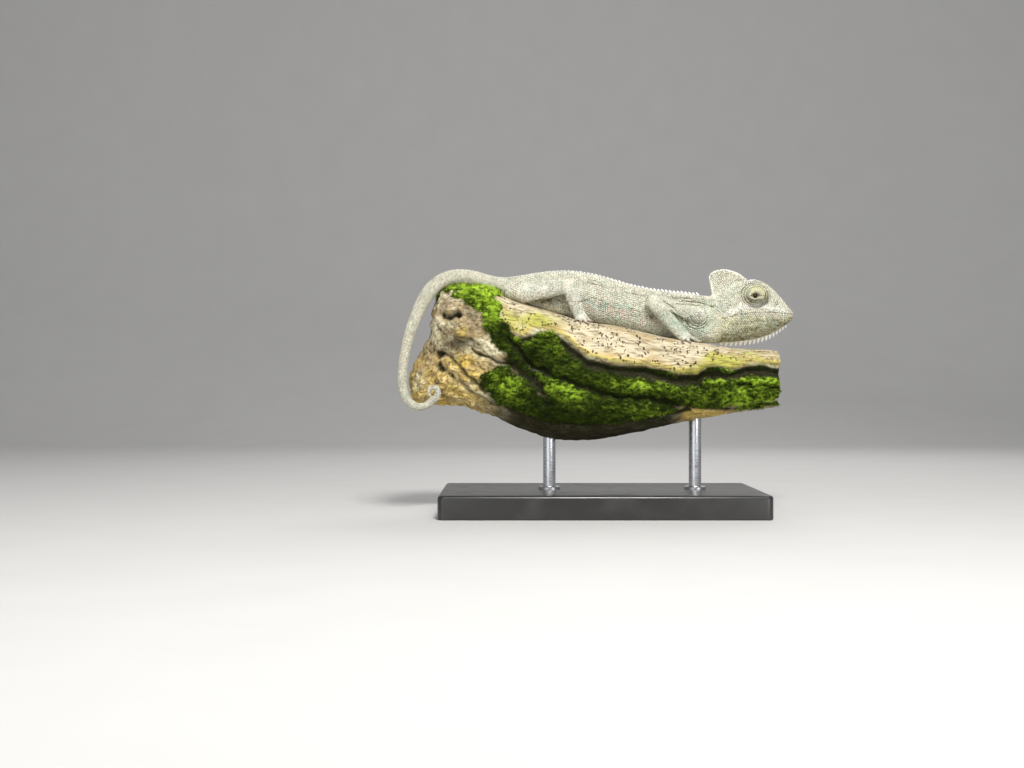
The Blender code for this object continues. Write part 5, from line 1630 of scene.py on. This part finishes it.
# the last layer, dark, is mostly painted shade, with the shoulder's frayed edge
colour = coats(
    (0.80, 0.74, 0.50), (ramp(cloud, 0.38, 0.62), (0.38, 0.30, 0.17)), (bleached, (0.67, 0.59, 0.41)),
    (number_of(tree, "ochre"), (0.84, 0.60, 0.14)),
    (number_of(tree, "lemon") * 0.95, (0.50, 0.49, 0.10)),
    (ramp(fibre, 0.48, 0.62, 0.0, 0.66), (0.19, 0.13, 0.06)), (pocket, (0.14, 0.10, 0.05)),
    (stain * 0.6, (0.44, 0.31, 0.14)), (number_of(tree, "cut"), end_grain),
    (pits * 0.92, (0.04, 0.03, 0.015)), (number_of(tree, "moss"), under_moss),
    (number_of(tree, "dark") * 0.97, (0.020, 0.019, 0.008)))
height = fibre + cloud * 0.4 - pits - pocket * 1.6
wire(shader, {"Base Color": colour, "Roughness": ramp(fibre, 0.3, 0.7, 0.72, 0.9),
              "Normal": bump(height, 0.6, 0.9)})
piece("driftwood", wood_mesh, wood_material, ["perch"])

# %% [markdown]
# ## Moss
# Moss is a felt of tiny pointed leaves. A displaced surface would look like foam, so
# each leaf is a thin three-sided spike of four triangles, and well over a hundred
# thousand are scattered over the mossy quads, more of them where a quad is large.

# %% One leaf, and how mossy each quad is
SPIKE = np.array([[1.0, 0.0, -0.1], [-0.5, 0.87, -0.1], [-0.5, -0.87, -0.1], [0.3, 0.0, 1.0]])
SPIKE_FACES = [np.array([[0, 1, 3], [1, 2, 3], [2, 0, 3], [0, 2, 1]])]
SPIKE_CROWN = np.array([0.0, 0.0, 0.0, 1.0])
SPIKES, MOSS_PIECES = 47000, 3
CLEAR_SIDE, CLEAR_DOWN, CLEAR_LEFT = 11.0, 1.5, -46  # leaves keep off where the animal rests
moss_material, tree, shader = new_material("moss", Roughness=0.75, Specular_IOR_Level=0.12)
wire(shader, {"Base Color": add(
    tree, "Group", {"Tone": number_of(tree, "tone"), "Tip": number_of(tree, "crown")},
    node_tree=moss_group)})
quads = strip(LOG_ROWS, LOG_AROUND)
wood = bark.reshape(-1, 3)
a, b, c, d = (wood[quads[:, k]] for k in range(4))
area = np.linalg.norm(np.cross(c - a, d - b), axis=1) / 2
root = quads[:, 0]
weight = np.cumsum(area * ease(moss[root], 0.2, 0.8) * (0.55 + 0.45 * lush[root]))
print("mossy quads:", int((moss[root] > 0.2).sum()))


# %% Scatter the leaves
def leaves(name, seed):
    """One piece of moss: leaves on random places of the mossy quads, leaning in tufts."""
    pick, a, b, tone, *bend = chance((9, SPIKES), seed)
    face = quads[np.searchsorted(weight, pick * weight[-1])]
    shares = ((1 - a) * (1 - b), (1 - a) * b, a * b, a * (1 - b))
    base = sum(wood[face[:, k]] * share[:, None] for k, share in enumerate(shares))
    root = face[:, 0]
    lean = np.stack([noise(base * (0.6, 1, 1), 1.7, lattice) for lattice in (41, 42, 43)], 1)
    stray = (np.stack(bend[:3], 1) - 0.5) * (1.3, 0.8, 0.8) + lean * (2.4, 1.4, 1.4)
    up = unit(flat_normal[root] * 0.8 + stray + (0.2, 0, -0.1))
    side = unit(np.cross(up, (0.2, 0.9, 0.3)))
    length = (1.2 + 1.9 * bend[3]) * (1 - 0.6 * hollow_shade[root])
    thick = 0.14 + 0.11 * bend[4]
    tone = np.clip(0.9 * tone + 0.07 + 0.4 * noise(base * (0.5, 1, 1), 0.8, 44), 0, 1)
    x, y, z = base.T
    free = (np.abs(y) > CLEAR_SIDE) | (z < log_top(x, y) - CLEAR_DOWN) | (x < CLEAR_LEFT)
    flat = np.stack([(x - LOG_X[0]) / (LOG_X[-1] - LOG_X[0]), root % LOG_AROUND / LOG_AROUND], 1)
    base, side, cross, up, thick, length, flat, tone, bright = (
        part[free] for part in (base, side, np.cross(up, side), up, thick, length,
                                flat * 0.96 + 0.02, tone, lush[root]))
    mesh = coat_mesh(name, SPIKE, SPIKE_FACES, base, (side, cross, up), (thick, thick, length), flat,
                     {"tone": tone, "lush": bright, "crown": SPIKE_CROWN})
    piece(name, mesh, moss_material)
    print(name + ":", len(base), "leaves")


for k in range(MOSS_PIECES):
    leaves(f"moss_{k}", 300 + k)


# %% [markdown]
# ## Stand
# A museum stand stays quiet: a slab in satin black lacquer and two brushed steel rods
# with a small collar where each meets the slab. The slab is rings of a rounded rectangle
# carried up an edge profile, and each rod is a profile turned about its own axis.

# %% Wear and dust, shared by lacquer and steel
wear, given, gives = new_group("fine_wear", {"Size": 1.0}, {"Mask": "Float", "Height": "Float"})
dust = add(wear, "TexNoise", {"Vector": in_millimetres(wear), "Detail": 4.0,
                              "Scale": maths("DIVIDE", 1.0, given["Size"])})["Fac"]
wire(gives, {"Mask": ramp(dust, 0.45, 0.75), "Height": dust})


def worn(tree, size):
    """The wear group, with dust clouds of a given size in millimetres."""
    return add(tree, "Group", {"Size": size}, node_tree=wear)


# %% Lacquer and steel
lacquer, tree, shader = new_material("satin_black_lacquer", Coat_Weight=0.35, Coat_Roughness=0.18)
dusty = worn(tree, 14.0)["Mask"]
wire(shader, {"Base Color": blend(dusty, (0.018, 0.017, 0.016), (0.030, 0.029, 0.027)),
              "Roughness": ramp(dusty, 0, 1, 0.32, 0.46),
              "Normal": bump(worn(tree, 1.6)["Height"], 0.03, 0.35)})

steel, tree, shader = new_material("brushed_steel", Metallic=1.0, Anisotropic=0.5)
brush = grain(in_millimetres(tree, (6, 6, 0.12)), 1.0, 3.0)
wire(shader, {"Base Color": blend(worn(tree, 5.0)["Mask"], (0.56, 0.57, 0.58), (0.44, 0.44, 0.45)),
              "Roughness": ramp(brush, 0.3, 0.7, 0.22, 0.4), "Normal": bump(brush, 0.02, 0.4)})


# %% Slab
CORNER, EDGE, AROUND = 3.0, 1.6, 64
COLLAR, ROD_EDGE = 2.2, 0.4  # how far a rod's collar stands out, and the bevel of its ends
STAND_ANGLE = math.radians(40)


def box_of(node):
    """A node's lowest and highest corners in millimetres."""
    return (np.array(corner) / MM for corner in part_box(node))


def stand_piece(name, rings, material, node):
    """A closed stack of rings with sharp edges kept sharp, in place of a CAD node."""
    mesh = mesh_of(name, *shell(rings))
    mesh.set_sharp_from_angle(angle=STAND_ANGLE)
    piece(name, mesh, material, [node])


_, slab_high = box_of("stand_base")
top = slab_high[2]
profile = [(0.5, 0.0), (0.0, 0.5)]
profile += [(EDGE * (1 - math.cos(t)), top - EDGE * (1 - math.sin(t)))
            for t in np.radians(np.linspace(0, 90, 7))]
profile += [(EDGE + 0.5, top), (EDGE + 6.0, top)]
turns = (np.arange(AROUND) + 0.5) / AROUND * TURN
round_turn = np.stack([np.cos(turns), np.sin(turns)], 1)
rings = []
for inset, level in profile:
    bend = max(CORNER - inset, 0.6)
    plan = np.sign(round_turn) * (slab_high[:2] - inset - bend) + bend * round_turn
    rings.append(np.column_stack([plan, np.full(AROUND, level)]))
stand_piece("stand_slab", np.array(rings), lacquer, "stand_base")
print("slab:", len(rings), "rings")

# %% Rods with their collars
turns = (np.arange(AROUND) / AROUND * TURN)[None, :]
for end in ("rear", "front"):
    low, high = box_of("stand_rod_" + end)
    radius, middle = (high[0] - low[0]) / 2, (low + high) / 2
    outline = [(-ROD_EDGE, low[2]), (0, low[2] + ROD_EDGE), (0, top), (COLLAR, top + 0.02),
               (COLLAR, top + 1.0), (COLLAR - 0.3, top + 1.3), (0.1, top + 1.4), (0, top + 1.6),
               (0, high[2] - ROD_EDGE), (-ROD_EDGE, high[2])]
    out, level = (np.array(line)[:, None] for line in zip(*outline))
    grid = np.broadcast_arrays(middle[0] + (radius + out) * np.cos(turns),
                               middle[1] + (radius + out) * np.sin(turns), level)
    stand_piece("stand_rod_finish_" + end, np.stack(grid, -1), steel, "stand_rod_" + end)
print("rods: rear and front")

# %% [markdown]
# ## Stage
# A pale floor that sweeps up into a backdrop shows the outline, and a large soft light
# above and a little in front of the animal shades its flanks gently from top to belly.
# The camera is level with the middle of the model, so the floor stays below it.

# %% Floor and backdrop
FRONT, BEHIND, HALF_FLOOR, WALL_TOP = -1600, 700, 2600.0, 2200
SWEEP = 0.5 / MM
floor_run = [(FRONT, 0), (BEHIND, 0)]
floor_run += [(BEHIND + SWEEP * math.sin(t), SWEEP * (1 - math.cos(t)))
              for t in np.radians(np.linspace(5, 90, 18))]
floor_run += [(BEHIND + SWEEP, WALL_TOP)]
grid = [(x, y, z) for y, z in floor_run for x in (-HALF_FLOOR, HALF_FLOOR)]
order = np.arange(len(floor_run) - 1)[:, None] * 2
floor_mesh = mesh_of("floor", grid, [order + np.array([0, 1, 3, 2])])
paper, tree, shader = new_material("backdrop_paper", Roughness=0.9, Specular_IOR_Level=0.2)
paper_grain = grain(in_millimetres(tree), 40.0, 3.0)
wire(shader, {"Base Color": blend(paper_grain, (0.62, 0.61, 0.59), (0.66, 0.65, 0.63))})
floor_mesh.materials.append(paper)
new_object("floor", floor_mesh)

# %% Light and camera
def lamp(name, place, target, size, power, colour=(1, 1, 1)):
    """A square area light at a place, turned to face its target."""
    data = bpy.data.lights.new(name, "AREA")
    data.size, data.energy, data.color = size, power, colour
    made = new_object(name, data)
    made.location = place
    made.rotation_euler = (Vector(target) - Vector(place)).to_track_quat("-Z", "Y").to_euler()


AIM = (0.0, 0.0, 0.09)
lamp("key", (0.05, -0.52, 0.6), AIM, 0.16, 5.6, (1.0, 0.99, 0.97))
lamp("front", (-0.45, -0.85, 0.12), AIM, 0.6, 1.8)
lamp("low", (0.35, -0.55, 0.03), AIM, 0.2, 0.8)
lamp("rim", (0.15, 0.5, 0.55), AIM, 0.4, 1.6)
world = bpy.data.worlds.new("studio")
world.use_nodes = True
wire(world.node_tree.nodes["Background"], {"Color": (0.93, 0.95, 1.0, 1.0), "Strength": 0.35})
camera = new_object("camera", bpy.data.cameras.new("camera"))
camera.data.lens, camera.data.sensor_width = 50.0, 36.0
camera.location = (-0.0417, -0.674, 0.0607)
camera.rotation_euler = (math.radians(90), 0, 0)
scene = bpy.context.scene
scene.world, scene.camera = world, camera
scene.view_settings.view_transform = "Standard"
